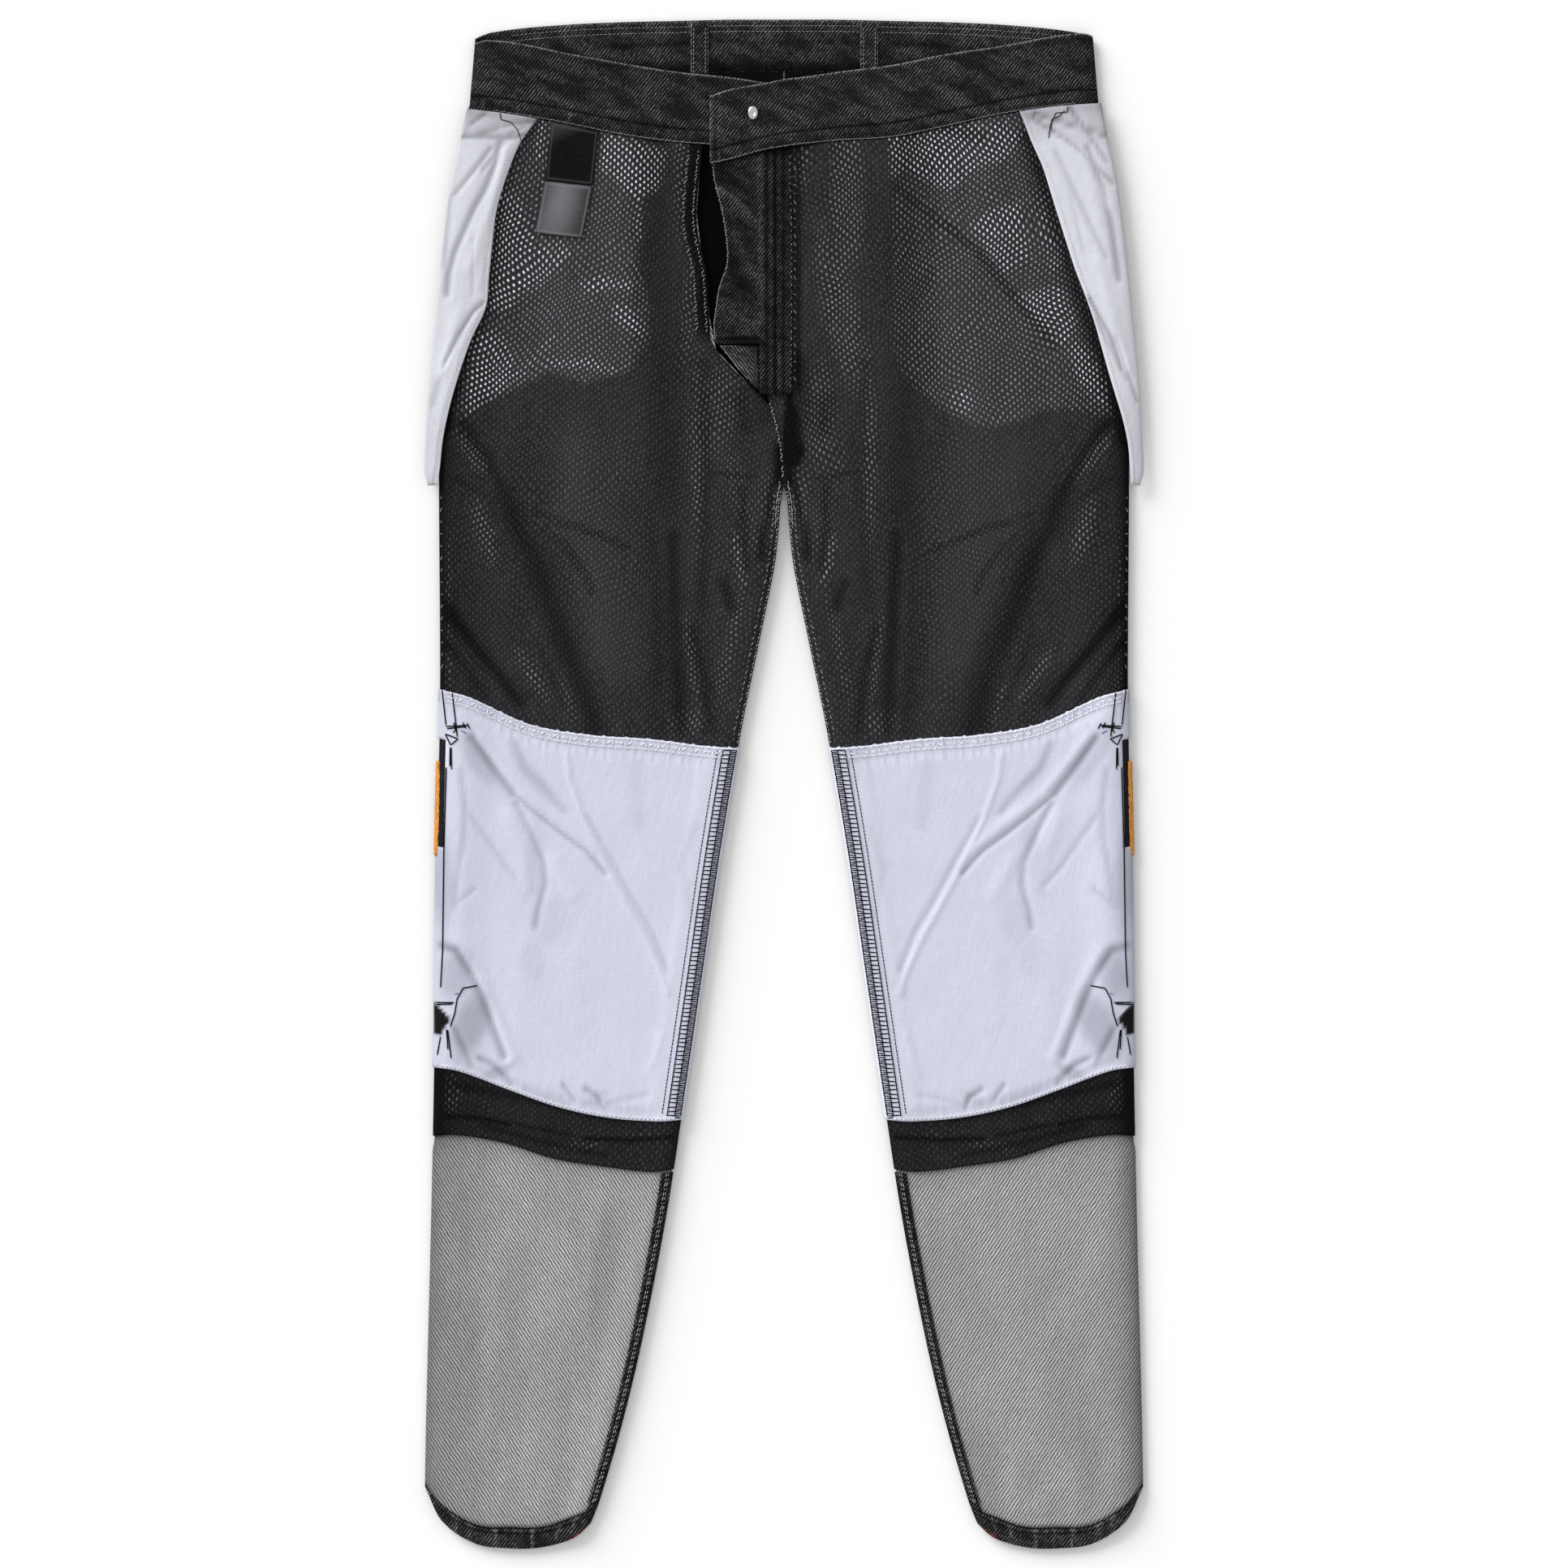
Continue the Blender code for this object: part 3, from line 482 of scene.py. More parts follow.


# Denim, wrong side: pale grey weft with dark diagonal lines, mottled, matt. Painted shade darkens it, a
# little brown, toward the side seam and in other shaded places.
def denim_wrong_side(name, turn):
    material, tree, shader, place = new_material(name, 0.95)
    lines = twill_lines(tree, place, turn, TWILL_PITCH, 2.6)
    flecks = noise(tree, place, turn, 3.0, 0.9, 2.0)
    cloud = noise(tree, place, 80, 60.0, 22.0, 3.0)
    mottle = noise(tree, place, 0, 7.0, 5.0, 2.0)
    pale = blend_colour(tree, spread(tree, cloud, 0.35, 0.65), linear("#b4b4b5"), linear("#c2c2c2"))
    pale = blend_colour(tree, spread(tree, flecks, 0.5, 0.8, 0.0, 0.35), pale, linear("#d8d8d7"))
    line_strength = spread(tree, mottle, 0.3, 0.7, 0.85, 1.0)
    line_share = math_node(tree, "MULTIPLY", spread(tree, lines, 0.15, 0.65), line_strength)
    colour = blend_colour(tree, line_share, linear("#5e5e5f"), pale)
    colour = blend_colour(tree, mark_value(tree, "shade"), colour, linear("#4b4845"))
    tree.links.new(colour, shader.inputs["Base Color"])
    add_bump(tree, shader, lines, 0.2)
    return material


# Black denim, right side: nearly black warp with paler diagonal weft specks, cloudy from the wash, and paled
# to grey along edges and on the tops of puckers and creases, by wear and painted highlight; painted shade
# darkens it toward black.
def black_denim(name, turn, dark="#121213", pale="#6f6f72"):
    material, tree, shader, place = new_material(name, 0.9, 0.04)
    lines = twill_lines(tree, place, turn, RIGHT_TWILL_PITCH, 2.2)
    flecks = noise(tree, place, turn, 2.6, 0.9, 2.0)
    cloud = noise(tree, place, -22, 26.0, 9.0, 3.0)
    slubs = noise(tree, place, 90, 9.0, 1.4, 2.0)
    wear_and_highlight = mark_value(tree, "wear_and_highlight")
    washed_and_lit = spread(tree, cloud, 0.38, 0.64, 0.12, 0.85)
    washed_and_lit = math_node(tree, "ADD", washed_and_lit, spread(tree, slubs, 0.5, 0.8, 0.0, 0.25))
    washed_and_lit = math_node(tree, "ADD", washed_and_lit, wear_and_highlight)
    broken = spread(tree, flecks, 0.36, 0.62, 0.15, 1.1)
    lit = math_node(tree, "MULTIPLY", spread(tree, lines, 0.35, 0.95), broken)
    colour = blend_colour(tree, math_node(tree, "MULTIPLY", lit, washed_and_lit), linear(dark), linear(pale))
    worn_and_lit = math_node(tree, "MULTIPLY", wear_and_highlight, spread(tree, flecks, 0.35, 0.6, 0.25, 1.0))
    colour = blend_colour(tree, spread(tree, worn_and_lit, 0.25, 1.0, 0.0, 0.9), colour, linear("#8d8d8f"))
    colour = blend_colour(tree, mark_value(tree, "shade"), colour, linear("#050505"))
    colour = blend_colour(tree, mark_value(tree, "rust"), colour, linear("#6b3017"))
    tree.links.new(colour, shader.inputs["Base Color"])
    add_bump(tree, shader, lines, 0.22)
    return material


# Faint darker patches on the lower legs: centre x, y, half width, half height, turn, strength
DENIM_DARK_PATCHES = (
    (129, -350, 8, 46, 6, 0.14), (150, -300, 6, 22, 0, 0.08), (196, -430, 14, 50, 8, 0.07),
    (214, -480, 12, 26, 20, 0.1),
)
denim_wrong = {side: denim_wrong_side(f"denim_wrong_side_{side}", turn) for side, turn in WEFT_TURNS.items()}
black_twill = black_denim("black_denim_twill", 52)
for side in ("left", "right"):
    for face in ("back", "front"):
        panel = {"side": side, "face": face, "cloth": "denim"}
        columns = panel_columns(34 if face == "front" else 10)
        levels = np.concatenate([
            np.linspace(WAIST_LEVEL, LINING_BOTTOM - 0.1, 40), np.linspace(LINING_BOTTOM, HEM_TOP, 72),
        ])
        outer = panel_sheet(panel, levels, columns, 0.0, (-WAIST_GAP / 2, HEM_GAP / 2))
        inner = panel_sheet(panel, levels, columns, DENIM_THICK, (-WAIST_GAP / 2, HEM_GAP / 2))
        to_side = np.maximum(0.0, smooth(SIDE_EDGE, outer[..., 1]) - outer[..., 0])
        to_inseam = np.maximum(0.0, outer[..., 0] - smooth(INSEAM, outer[..., 1]) - INNER_ROLL)
        to_hem = (HEM_TOP - levels)[:, None] * 250
        # Painted shade: darker toward the side edge and the inseam, where the leg rounds away, in a painted
        # shadow along the lining's lower edge and just above the hem, and black on the backs above the crotch
        shade = 0.5 * np.exp(-to_side / 9.0) + 0.28 * np.exp(-to_side / 30.0)
        shade = shade + 0.3 * np.exp(-to_inseam / 3.0)
        shade = shade + spots(DENIM_DARK_PATCHES, outer[..., 0], outer[..., 1])
        shade = shade + 0.4 * np.exp(-np.abs(levels - LINING_BOTTOM)[:, None] / 0.02)
        shade = shade + 0.15 * np.exp(-to_hem / 8.0)
        if face == "back":
            shade = np.where(outer[..., 1] > INSEAM[0][0], 1.0, shade)
        piece = add_shell(f"leg_{face}_{side}", signed(outer, side), signed(inner, side),
                          (denim_wrong[side], black_twill),
                          {"shade": np.clip(shade, 0.0, 1.0)}, up=face == "front")

# Hems
# Each leg's lower end is turned up outside, so the black right side shows: a flat folded band, sewn along
# its top. The stitching draws it into upright puckers whose tops are paler from wear and painted highlight.
# Painted shade darkens its seam line and its top edge.
HEM_THICK = 1.6


def bell(offset, reach):
    """1 where there is no offset, falling off softly over a reach to both sides."""
    return np.exp(-(offset / reach) ** 2)


def uneven_waves(distance, lengths, reach):
    """Uneven puckers along an edge, 0 between them: waves of several lengths, kept to their tops."""
    total = sum(np.sin(distance * 2 * math.pi / length + 2.1 * i) for i, length in enumerate(lengths))
    return np.clip(total / len(lengths) * reach, 0.0, 1.0)


for side in ("left", "right"):
    for face in ("back", "front"):
        panel = {"side": side, "face": face, "cloth": "hem"}
        columns = panel_columns(60 if face == "front" else 12)
        levels = np.linspace(HEM_TOP, HEM_BOTTOM, 13)
        outer = panel_sheet(panel, levels, columns, 0.0, (-HEM_GAP / 2, 0.0))
        inner = panel_sheet(panel, levels, columns, HEM_THICK, (-HEM_GAP / 2, 0.0))
        down = (levels - HEM_TOP)[:, None]
        wave = uneven_waves(outer[..., 0], (9.3, 14.9, 6.1), 1.6)
        if face == "front":
            rise = 0.35 * wave * ease(down / 0.3) * ease((1 - down) / 0.3) - 0.5 * bell(down - 0.22, 0.07)
            lower_edge = 0.8 * ease((down - 0.8) / 0.2)
            outer[..., 2] += rise - lower_edge
        wear_and_highlight = 0.5 * wave + 0.5 * bell(down - 0.12, 0.06) + 0.25 * bell(down - 0.97, 0.05)
        to_inner = outer[..., 0] - smooth(INSEAM, outer[..., 1])
        rust = 0.8 * bell(to_inner - 9, 5.0) * ease((down - 0.75) / 0.2)
        # Painted shade along the seam line and at the top edge
        shade = 0.8 * bell(down - 0.24, 0.05) + 0.7 * np.exp(-down / 0.04)
        marks = {"wear_and_highlight": wear_and_highlight, "rust": rust, "shade": np.clip(shade, 0, 1)}
        piece = add_shell(f"hem_{face}_{side}", signed(outer, side), signed(inner, side), (black_twill,),
                          marks, up=face == "front")

# Inseam allowances
# The cut edges of the inseam, pressed to the front and overlocked together with black thread. A paler
# chain of loops shows down the middle of the strip.
THREAD_SIDES = 5
ALLOWANCE_REACH = (-278, -514, 44)  # y of the first and last stitch's place on a route, and its places


def top_at(names, x, y, lift, default):
    """Height in millimetres at which a thread lies on the named pieces at a place."""
    found = default
    for name in names:
        hit = tops[name].ray_cast((x * MM, y * MM, 1.0), (0.0, 0.0, -1.0))[0]
        if hit is not None:
            found = max(found, hit.z / MM)
    return found + lift


def add_threads(name, lines, radius, material):
    """Many threads joined in one mesh; each line is a list of points that one thread follows."""
    points = []
    faces = []
    start = 0
    for line in lines:
        line = np.asarray(line, dtype=float)
        count = len(line)
        ahead = np.gradient(line, axis=0)
        ahead /= np.maximum(np.linalg.norm(ahead, axis=1, keepdims=True), 1e-9)
        beside = np.cross(ahead, (0.0, 0.0, 1.0))
        beside /= np.maximum(np.linalg.norm(beside, axis=1, keepdims=True), 1e-9)
        above = np.cross(beside, ahead)
        thick = np.full((count, 1), radius)
        thick[0] = thick[-1] = radius * 0.55
        for i in range(THREAD_SIDES):
            angle = 2 * math.pi * i / THREAD_SIDES
            points.append(line + thick * (math.cos(angle) * beside + math.sin(angle) * above))
        rings = start + np.arange(THREAD_SIDES)[:, None] * count + np.arange(count)
        following = np.roll(rings, -1, axis=0)
        quads = np.stack([rings[:, :-1], rings[:, 1:], following[:, 1:], following[:, :-1]], axis=-1)
        faces += quads.reshape(-1, 4).tolist()
        faces += [rings[::-1, 0].tolist(), rings[:, -1].tolist()]
        start += THREAD_SIDES * count
    return new_piece(name, np.concatenate(points), faces, (material,))


def walk(route, step):
    """Places a step apart along a route of x, y points."""
    route = np.asarray(route, dtype=float)
    lengths = np.concatenate([[0.0], np.cumsum(np.linalg.norm(np.diff(route, axis=0), axis=1))])
    at = np.arange(0.0, lengths[-1], step)
    return np.stack([np.interp(at, lengths, route[:, i]) for i in range(2)], axis=-1)


def edge_route(edge, offset, start, end, count, column=1):
    """A route of x, y places at an offset from a tabled edge, between two heights."""
    return [(float(smooth(edge, y, column)) + offset, y) for y in np.linspace(start, end, count)]


def stitches(route, names, side, pitch, share, lift, default=4.0, waver=0.0):
    """Running stitches along a route of distances from the centre and y: short threads with gaps between."""
    sign = -1.0 if side == "left" else 1.0
    places = walk(route, pitch)
    lines = []
    for i in range(len(places) - 1):
        start = places[i]
        end = mix(start, places[i + 1], share)
        turn = waver * math.sin(i * 2.4)
        shift = np.array([turn, -turn])
        trio = (start + shift, (start + end) / 2, end - shift)
        heights = [top_at(names, sign * x, y, lift, default) for x, y in (trio[0], trio[2])]
        heights.insert(1, max(heights) + 0.12)
        lines.append([(sign * x, y, z) for (x, y), z in zip(trio, heights)])
    return lines


def cord_line(route, names, side, lift, step=2.0, default=4.0):
    """One long thread along a route of distances from the centre and y."""
    sign = -1.0 if side == "left" else 1.0
    return [(sign * x, y, top_at(names, sign * x, y, lift, default)) for x, y in walk(route, step)]


# Sewing thread, polyester: slightly glossy, with a faint twist along it.
def sewing_thread(name, colour, pale, gloss=0.25):
    material, tree, shader, place = new_material(name, 0.6, gloss)
    twist = noise(tree, place, 30, 1.2, 0.5, 1.0)
    tree.links.new(blend_colour(tree, spread(tree, twist, 0.35, 0.65), linear(colour), linear(pale)),
                   shader.inputs["Base Color"])
    return material


black_thread = sewing_thread("thread_black", "#070708", "#17171a", 0.03)
grey_thread = sewing_thread("thread_grey", "#7c7c7e", "#adadae")
white_thread = sewing_thread("thread_white", "#d8d9e2", "#eeeef4")
blue_thread = sewing_thread("thread_blue", "#1d3f9a", "#3560c4")
for side in ("left", "right"):
    panel = {"side": side, "face": "front", "cloth": "denim"}
    columns = [("inner roll", angle) for angle in np.linspace(90, 0, 9)]
    levels = np.linspace(LINING_BOTTOM + STEP_START, HEM_TOP, 120)
    outer = panel_sheet(panel, levels, columns, -GAP - TRIM, (0.0, GAP))
    inner = panel_sheet(panel, levels, columns, -GAP, (0.0, GAP))
    along = outer[:, :1, 1]
    edge = np.linspace(0.0, 1.0, len(columns))[None, :]
    outer[..., 2] += 0.22 * np.sin(along * 2 * math.pi / 3.4) * np.sin(edge * math.pi)
    wear_and_highlight = 0.55 * bell(edge - 0.42, 0.1) * uneven_waves(along, (3.1, 23.0, 61.0), 1.5)
    wear_and_highlight = wear_and_highlight + 0.35 * bell(edge, 0.1) * uneven_waves(along + 7, (2.9, 19.0, 47.0), 1.5)
    piece = add_shell(f"inseam_allowance_{side}", signed(outer, side), signed(inner, side), (black_twill,),
                      {"wear_and_highlight": wear_and_highlight, "shade": 0.35})
    loops = []
    for offset, share in ((4.6, 0.62), (3.2, 0.5)):
        route = edge_route(INSEAM, offset, *ALLOWANCE_REACH)
        loops += stitches(route, [piece.name], side, 3.4, share, 0.15, waver=0.5)
    chain = add_threads(f"inseam_chain_{side}", loops, 0.36, grey_thread)
    route = edge_route(INSEAM, 8.2, *ALLOWANCE_REACH)
    edge_lines = stitches(route, [piece.name, f"leg_front_{side}_cloth"], side, 2.6, 0.8, 0.1, waver=0.5)
    edging = add_threads(f"inseam_edging_{side}", edge_lines, 0.34, black_thread)

# Mesh lining
# A black warp-knit polyester mesh, sewn in at the waistband and free at its lower edge below the knee. Its
# staggered holes show what lies behind: white pocket bag at the hips, grey or black denim elsewhere, with
# painted light on the thigh's folds. Painted shade darkens it along its edges, in its folds, by the fly and
# below the knee.
MESH_THICK = 0.7
HOLE_PITCH = 5.4            # between holes of a row
ROW_PITCH = 2.4             # between staggered rows
HOLE_RADII = (0.63, 0.98)   # across and along the rows
GRAIN_TURN = 6.0            # the rows stand square to the leg, which leans out

# Outline of the pocket bag behind the mesh, whose holes it fills with a dim white
BAG_BEHIND = {
    "left": ((-240, 480), (-103, 480), (-103, 370), (-95, 340), (-96, 318), (-111, 294), (-142, 286),
             (-167, 294),
             (-196, 279), (-250, 258)),
    "right": ((78, 480), (240, 480), (250, 255), (233, 262), (187, 268), (169, 259), (148, 254), (132, 258),
              (111, 269), (88, 287), (78, 310)),
}
# Where that bag lies close to the mesh: the strength of the white with an outline
CLOSE_BEHIND = {
    "left": (
        (0.95, ((-131, 464), (-84, 452), (-90, 424), (-106, 418), (-122, 432), (-131, 438))),
        (0.75, ((-105, 424), (-102, 424), (-102, 388), (-105, 388))),
        (0.8, ((-206, 424), (-192, 424), (-178, 388), (-176, 360), (-196, 338), (-214, 338), (-208, 386))),
        (0.8, ((-177, 384), (-157, 388), (-150, 380), (-178, 350))),
        (0.8, ((-223, 322), (-204, 324), (-192, 306), (-196, 284), (-228, 262))),
        (0.7, ((-219, 281), (-188, 296), (-164, 322), (-161, 318), (-186, 291), (-217, 276))),
        (0.8, ((-173, 303), (-140, 304), (-118, 297), (-120, 292), (-142, 297), (-172, 298))),
        (0.8, ((-147, 358), (-130, 363), (-108, 358), (-109, 352), (-130, 352), (-142, 349))),
        (0.85, ((-123, 343), (-112, 341), (-98, 324), (-102, 318), (-116, 327), (-124, 336))),
        (0.75, ((-176, 471), (-170, 471), (-172, 446), (-178, 446))),
    ),
    "right": (
        (0.95, ((76, 461), (158, 474), (170, 462), (158, 446), (138, 440), (118, 422), (101, 431),
        (88, 438), (77, 434))),
        (0.9, ((132, 399), (150, 412), (167, 415), (174, 392), (172, 372), (158, 364), (142, 384))),
        (0.55, ((180, 426), (190, 424), (200, 372), (190, 362), (182, 390))),
        (0.85, ((166, 349), (196, 356), (207, 336), (205, 314), (192, 312), (176, 334))),
        (0.85, ((203, 316), (216, 312), (230, 288), (236, 262), (222, 272), (208, 292))),
        (0.6, ((120, 281), (134, 281), (136, 268), (126, 262), (118, 270))),
    ),
}
# Places where the mesh lies close on grey denim, as centre x, y, half width, half height, turn, strength
GREY_BEHIND = {
    "left": (
        (-74, 440, 5, 52, 0, 0.2), (-66, 350, 6, 50, -6, 0.2), (-50, 262, 18, 42, -20, 0.17),
        (-30, 200, 8, 50, 14, 0.13), (-130, 190, 50, 90, 0, 0.07),
    ),
    "right": (
        (45, 425, 12, 60, 0, 0.26), (40, 340, 13, 60, 12, 0.24), (26, 262, 12, 40, 0, 0.2),
        (13, 446, 6, 22, 0, 0.2),
        (30, 200, 8, 50, -14, 0.13), (130, 190, 50, 90, 0, 0.07),
    ),
}
# The same for both legs, with x as a distance from the centre; partly mesh lying close on grey denim, partly
# painted light on the thigh's folds
GREY_AND_LIGHT_BOTH = (
    (66, 90, 3, 34, -8, 0.22), (154, 60, 3, 16, -20, 0.17), (180, 78, 4, 22, -31, 0.22),
    (239, 110, 2.4, 70, 0, 0.22),
    (238, -222, 6, 14, 0, 0.3), (148, -258, 18, 3.4, -8, 0.22), (100, -252, 18, 5, 0, 0.1),
    (70, 44, 14, 10, 0, 0.16),
    (38, 100, 4, 50, 12, 0.16), (12, 205, 6, 22, 4, 0.2), (61, 235, 4.5, 75, 0, 0.22),
    (32, 160, 2.6, 20, -11, 0.4),
    (222, 236, 5, 20, -36, 0.3), (214, 180, 6, 26, -17, 0.25),
)
# Soft shadows and lights of the thigh's folds: half width, darkness, then the places that each runs through
THIGH_SHADES = bent(
    (4, 0.6, (229, 257), (211, 231), (199, 208)), (8, 0.6, (199, 208), (190, 183), (177, 160)),
    (10, 0.62, (177, 160), (166, 125), (154, 96)), (9, 0.58, (154, 96), (143, 67), (135, 40)),
    (5, 0.75, (240, 125), (221, 99), (205, 80), (189, 58)), (3, 0.45, (240, 100), (227, 83), (211, 60)),
    (2, 0.4, (234, 218), (208, 202)), (14, 0.42, (88, 460), (87, 300), (85, 195)),
    (8, 0.32, (94, 190), (90, 110), (88, 40)), (6, 0.66, (80, 178), (77, 100), (74, 40)),
    (5, 0.36, (58, 300), (56, 208), (59, 125)), (4, 0.5, (66, 112), (56, 73), (53, 38)),
    (6, 0.45, (30, 276), (27, 253)), (1.4, 0.5, (50, 223), (22, 218)), (3, 0.6, (30, 212), (27, 154)),
    (4, 0.6, (43, 144), (37, 125)), (3, 0.5, (16, 184), (14, 162)), (3, 0.35, (175, 99), (156, 54)),
    (1.3, 0.36, (178, 192), (140, 181), (98, 163)), (1.3, 0.36, (178, 186), (156, 170), (140, 147),
    (138, 137)),
    (7, 0.4, (12, 300), (16, 260)), (26, -0.06, (150, 235), (122, 90)), (5, 0.8, (3, 238), (5, 216)),
    (2.4, 0.75, (8, 214), (12, 190), (19, 160)),
    (1.8, 0.55, (249, -236), (220, -238), (196, -243)), (1.3, 0.4, (190, -243), (150, -251)),
    (1.8, 0.6, (142, -253), (110, -254), (80, -252)), (3, 0.3, (235, -214), (180, -226), (120, -240)),
    (2.4, 0.35, (214, -244), (170, -256), (128, -265)),
)
# Soft shadows on the mesh along a pocket bag's inner edge
BAG_SHADES = {
    "left": bent((3.4, 0.6, (204, 412), (207, 386), (212, 345), (228, 300), (242, 252))),
    "right": bent(
        (6, 0.8, (174, 462), (184, 432), (197, 390), (210, 350), (224, 313), (235, 277), (243, 248)),
        (1.6, 0.5, (80, 425), (136, 382), (165, 346), (194, 313)), (3, 0.35, (110, 470), (140, 462)),
    ),
}
# Painted deep shade of a fold beside the seam below the fly, on the right leg
CROTCH_FOLD = ((1, 279), (7, 279), (10, 260), (14.5, 236), (11, 228), (1.5, 228), (-1, 250))


def inside_outline(outline, x, y, soft):
    """1 well inside an outline and 0 well outside it, with an edge as soft as given in millimetres."""
    nearest = np.full(np.broadcast(x, y).shape, 1e9)
    crossings = np.zeros(nearest.shape, dtype=int)
    for (x0, y0), (x1, y1) in zip(outline, outline[1:] + outline[:1]):
        length2 = (x1 - x0) ** 2 + (y1 - y0) ** 2
        share = np.clip(((x - x0) * (x1 - x0) + (y - y0) * (y1 - y0)) / length2, 0.0, 1.0)
        nearest = np.minimum(nearest, np.hypot(x - mix(x0, x1, share), y - mix(y0, y1, share)))
        if y0 != y1:
            crossings = crossings + (((y0 > y) != (y1 > y)) & (x < mix(x0, x1, (y - y0) / (y1 - y0))))
    return ease(0.5 + np.where(crossings % 2 == 1, nearest, -nearest) / soft)


# Warp-knit mesh: near-black and a little glossy, with paler specks that are knots and painted glints; each
# hole is a soft upright dot, as pale as what is behind and the painted light there. A shade mark paints
# shadow toward black, and painted light toward grey where it is negative.
def mesh_knit(name, turn):
    material, tree, shader, place = new_material(name, 0.75, 0.05)
    drift = add_node(tree, "ShaderNodeTexNoise", {"Vector": place, "Scale": 0.022, "Detail": 1.0})
    drawn = add_node(tree, "ShaderNodeVectorMath", {
        0: drift.outputs["Color"], 1: (16.0, 16.0, 0.0), 2: place,
    }, operation="MULTIPLY_ADD")
    lattice = turned(tree, drawn.outputs[0], -turn)
    distances = []
    for shift in (0.0, 0.5):
        cell = add_node(tree, "ShaderNodeVectorMath", {
            0: lattice, 1: (1 / HOLE_PITCH, 0.5 / ROW_PITCH, 0.0), 2: (shift, shift, 0.0),
        }, operation="MULTIPLY_ADD")
        inside = add_node(tree, "ShaderNodeVectorMath", {0: cell.outputs[0]}, operation="FRACTION")
        from_centre = add_node(tree, "ShaderNodeVectorMath", {
            0: inside.outputs[0], 1: (HOLE_PITCH / HOLE_RADII[0], 2 * ROW_PITCH / HOLE_RADII[1], 0.0),
            2: (-0.5 * HOLE_PITCH / HOLE_RADII[0], -ROW_PITCH / HOLE_RADII[1], 0.0),
        }, operation="MULTIPLY_ADD")
        length = add_node(tree, "ShaderNodeVectorMath", {0: from_centre.outputs[0]}, operation="LENGTH")
        distances.append(length.outputs["Value"])
    nearest = math_node(tree, "MINIMUM", *distances)
    hole = spread(tree, nearest, 1.3, 0.7)
    behind_and_light = mark_value(tree, "behind_and_light")
    uneven = noise(tree, place, 0, 4.5, 3.5, 2.0)
    patches = noise(tree, place, 70, 26.0, 14.0, 2.0)
    seen = math_node(tree, "MULTIPLY", behind_and_light, spread(tree, uneven, 0.3, 0.7, 0.5, 1.6))
    seen = math_node(tree, "MULTIPLY", seen, spread(tree, patches, 0.35, 0.6, 0.75, 1.05))
    through = blend_colour(tree, seen, linear("#18181a"), linear("#e6e7ec"))
    cloud = noise(tree, place, 84, 110.0, 26.0, 3.0)
    knots_and_glints = noise(tree, place, 0, 2.2, 1.8, 1.0)
    thread = blend_colour(tree, spread(tree, cloud, 0.35, 0.68), linear("#1f1f21"), linear("#29292b"))
    thread = blend_colour(tree, spread(tree, knots_and_glints, 0.45, 0.75, 0.0, 0.6), thread, linear("#3d3d40"))
    colour = blend_colour(tree, hole, thread, through)
    shade = mark_value(tree, "shade")
    colour = blend_colour(tree, shade, colour, linear("#060607"))
    colour = blend_colour(tree, spread(tree, shade, 0.0, -1.0), colour, linear("#77777a"))
    tree.links.new(colour, shader.inputs["Base Color"])
    add_bump(tree, shader, spread(tree, nearest, 0.6, 1.7), 0.35)
    return material


knit = {"left": mesh_knit("mesh_knit_left", GRAIN_TURN), "right": mesh_knit("mesh_knit_right", -GRAIN_TURN)}
for side in ("left", "right"):
    sign = -1.0 if side == "left" else 1.0
    for face in ("back", "front"):
        panel = {"side": side, "face": face, "cloth": "lining"}
        front = face == "front"
        columns = panel_columns(50 if front else 12)
        steps = (84, 60, 30, 20) if front else (20, 16, 16, 4)
        levels = np.concatenate([
            np.linspace(line, line + 1, count, endpoint=False) for line, count in enumerate(steps)
        ] + [[float(LINING_BOTTOM)]])
        outer = panel_sheet(panel, levels, columns, 0.0, (-WAIST_GAP / 2, 0.0))
        inner = panel_sheet(panel, levels, columns, MESH_THICK, (-WAIST_GAP / 2, 0.0))
        x, y = outer[..., 0], outer[..., 1]
        to_side = np.maximum(0.0, smooth(SIDE_EDGE, y) - x)
        to_inner = np.maximum(0.0, x - inner_edge(panel, y))
        behind_and_light = 0.055 + 0.0 * x
        # Painted shade: darker toward the side and inner edges, in the thigh's folds, in a strip by the fly,
        # in a fold and beside the shield below the fly, below the knee and along the bags; a little painted
        # light over the bags
        shade = 0.8 * np.exp(-to_side / 6.0) + 0.4 * np.exp(-to_side / 20.0)
        if front:
            in_bag = inside_outline(BAG_BEHIND[side], sign * x, y, 7.0)
            behind_and_light = np.maximum(behind_and_light, 0.24 * in_bag)
            for strength, outline in CLOSE_BEHIND[side]:
                behind_and_light = np.maximum(behind_and_light, strength * inside_outline(outline, sign * x, y, 6.0))
            behind_and_light = np.maximum(behind_and_light, spots(GREY_BEHIND[side], sign * x, y))
            behind_and_light = np.maximum(behind_and_light, spots(GREY_AND_LIGHT_BOTH, x, y))
            shade = shade + 0.5 * np.exp(-to_inner / 3.0) + ridges(THIGH_SHADES, x, y)
            if side == "left":
                shade = shade + 0.95 * np.exp(-(to_inner / 10.5) ** 4) * ease((y - 312) / 16)
            else:
                shade = shade + inside_outline(CROTCH_FOLD, x, y, 3.0)
                shade = shade + 0.9 * bell(x - 9.0, 3.0) * ease((y - 276) / 6)
            shade = shade + 0.4 * ease((-190 - y) / 20) - 0.07 * in_bag + ridges(BAG_SHADES[side], x, y)
        piece = add_shell(f"lining_{face}_{side}", signed(outer, side), signed(inner, side), (knit[side],),
                          {"behind_and_light": behind_and_light, "shade": np.clip(shade, -1.0, 0.95)}, up=front)

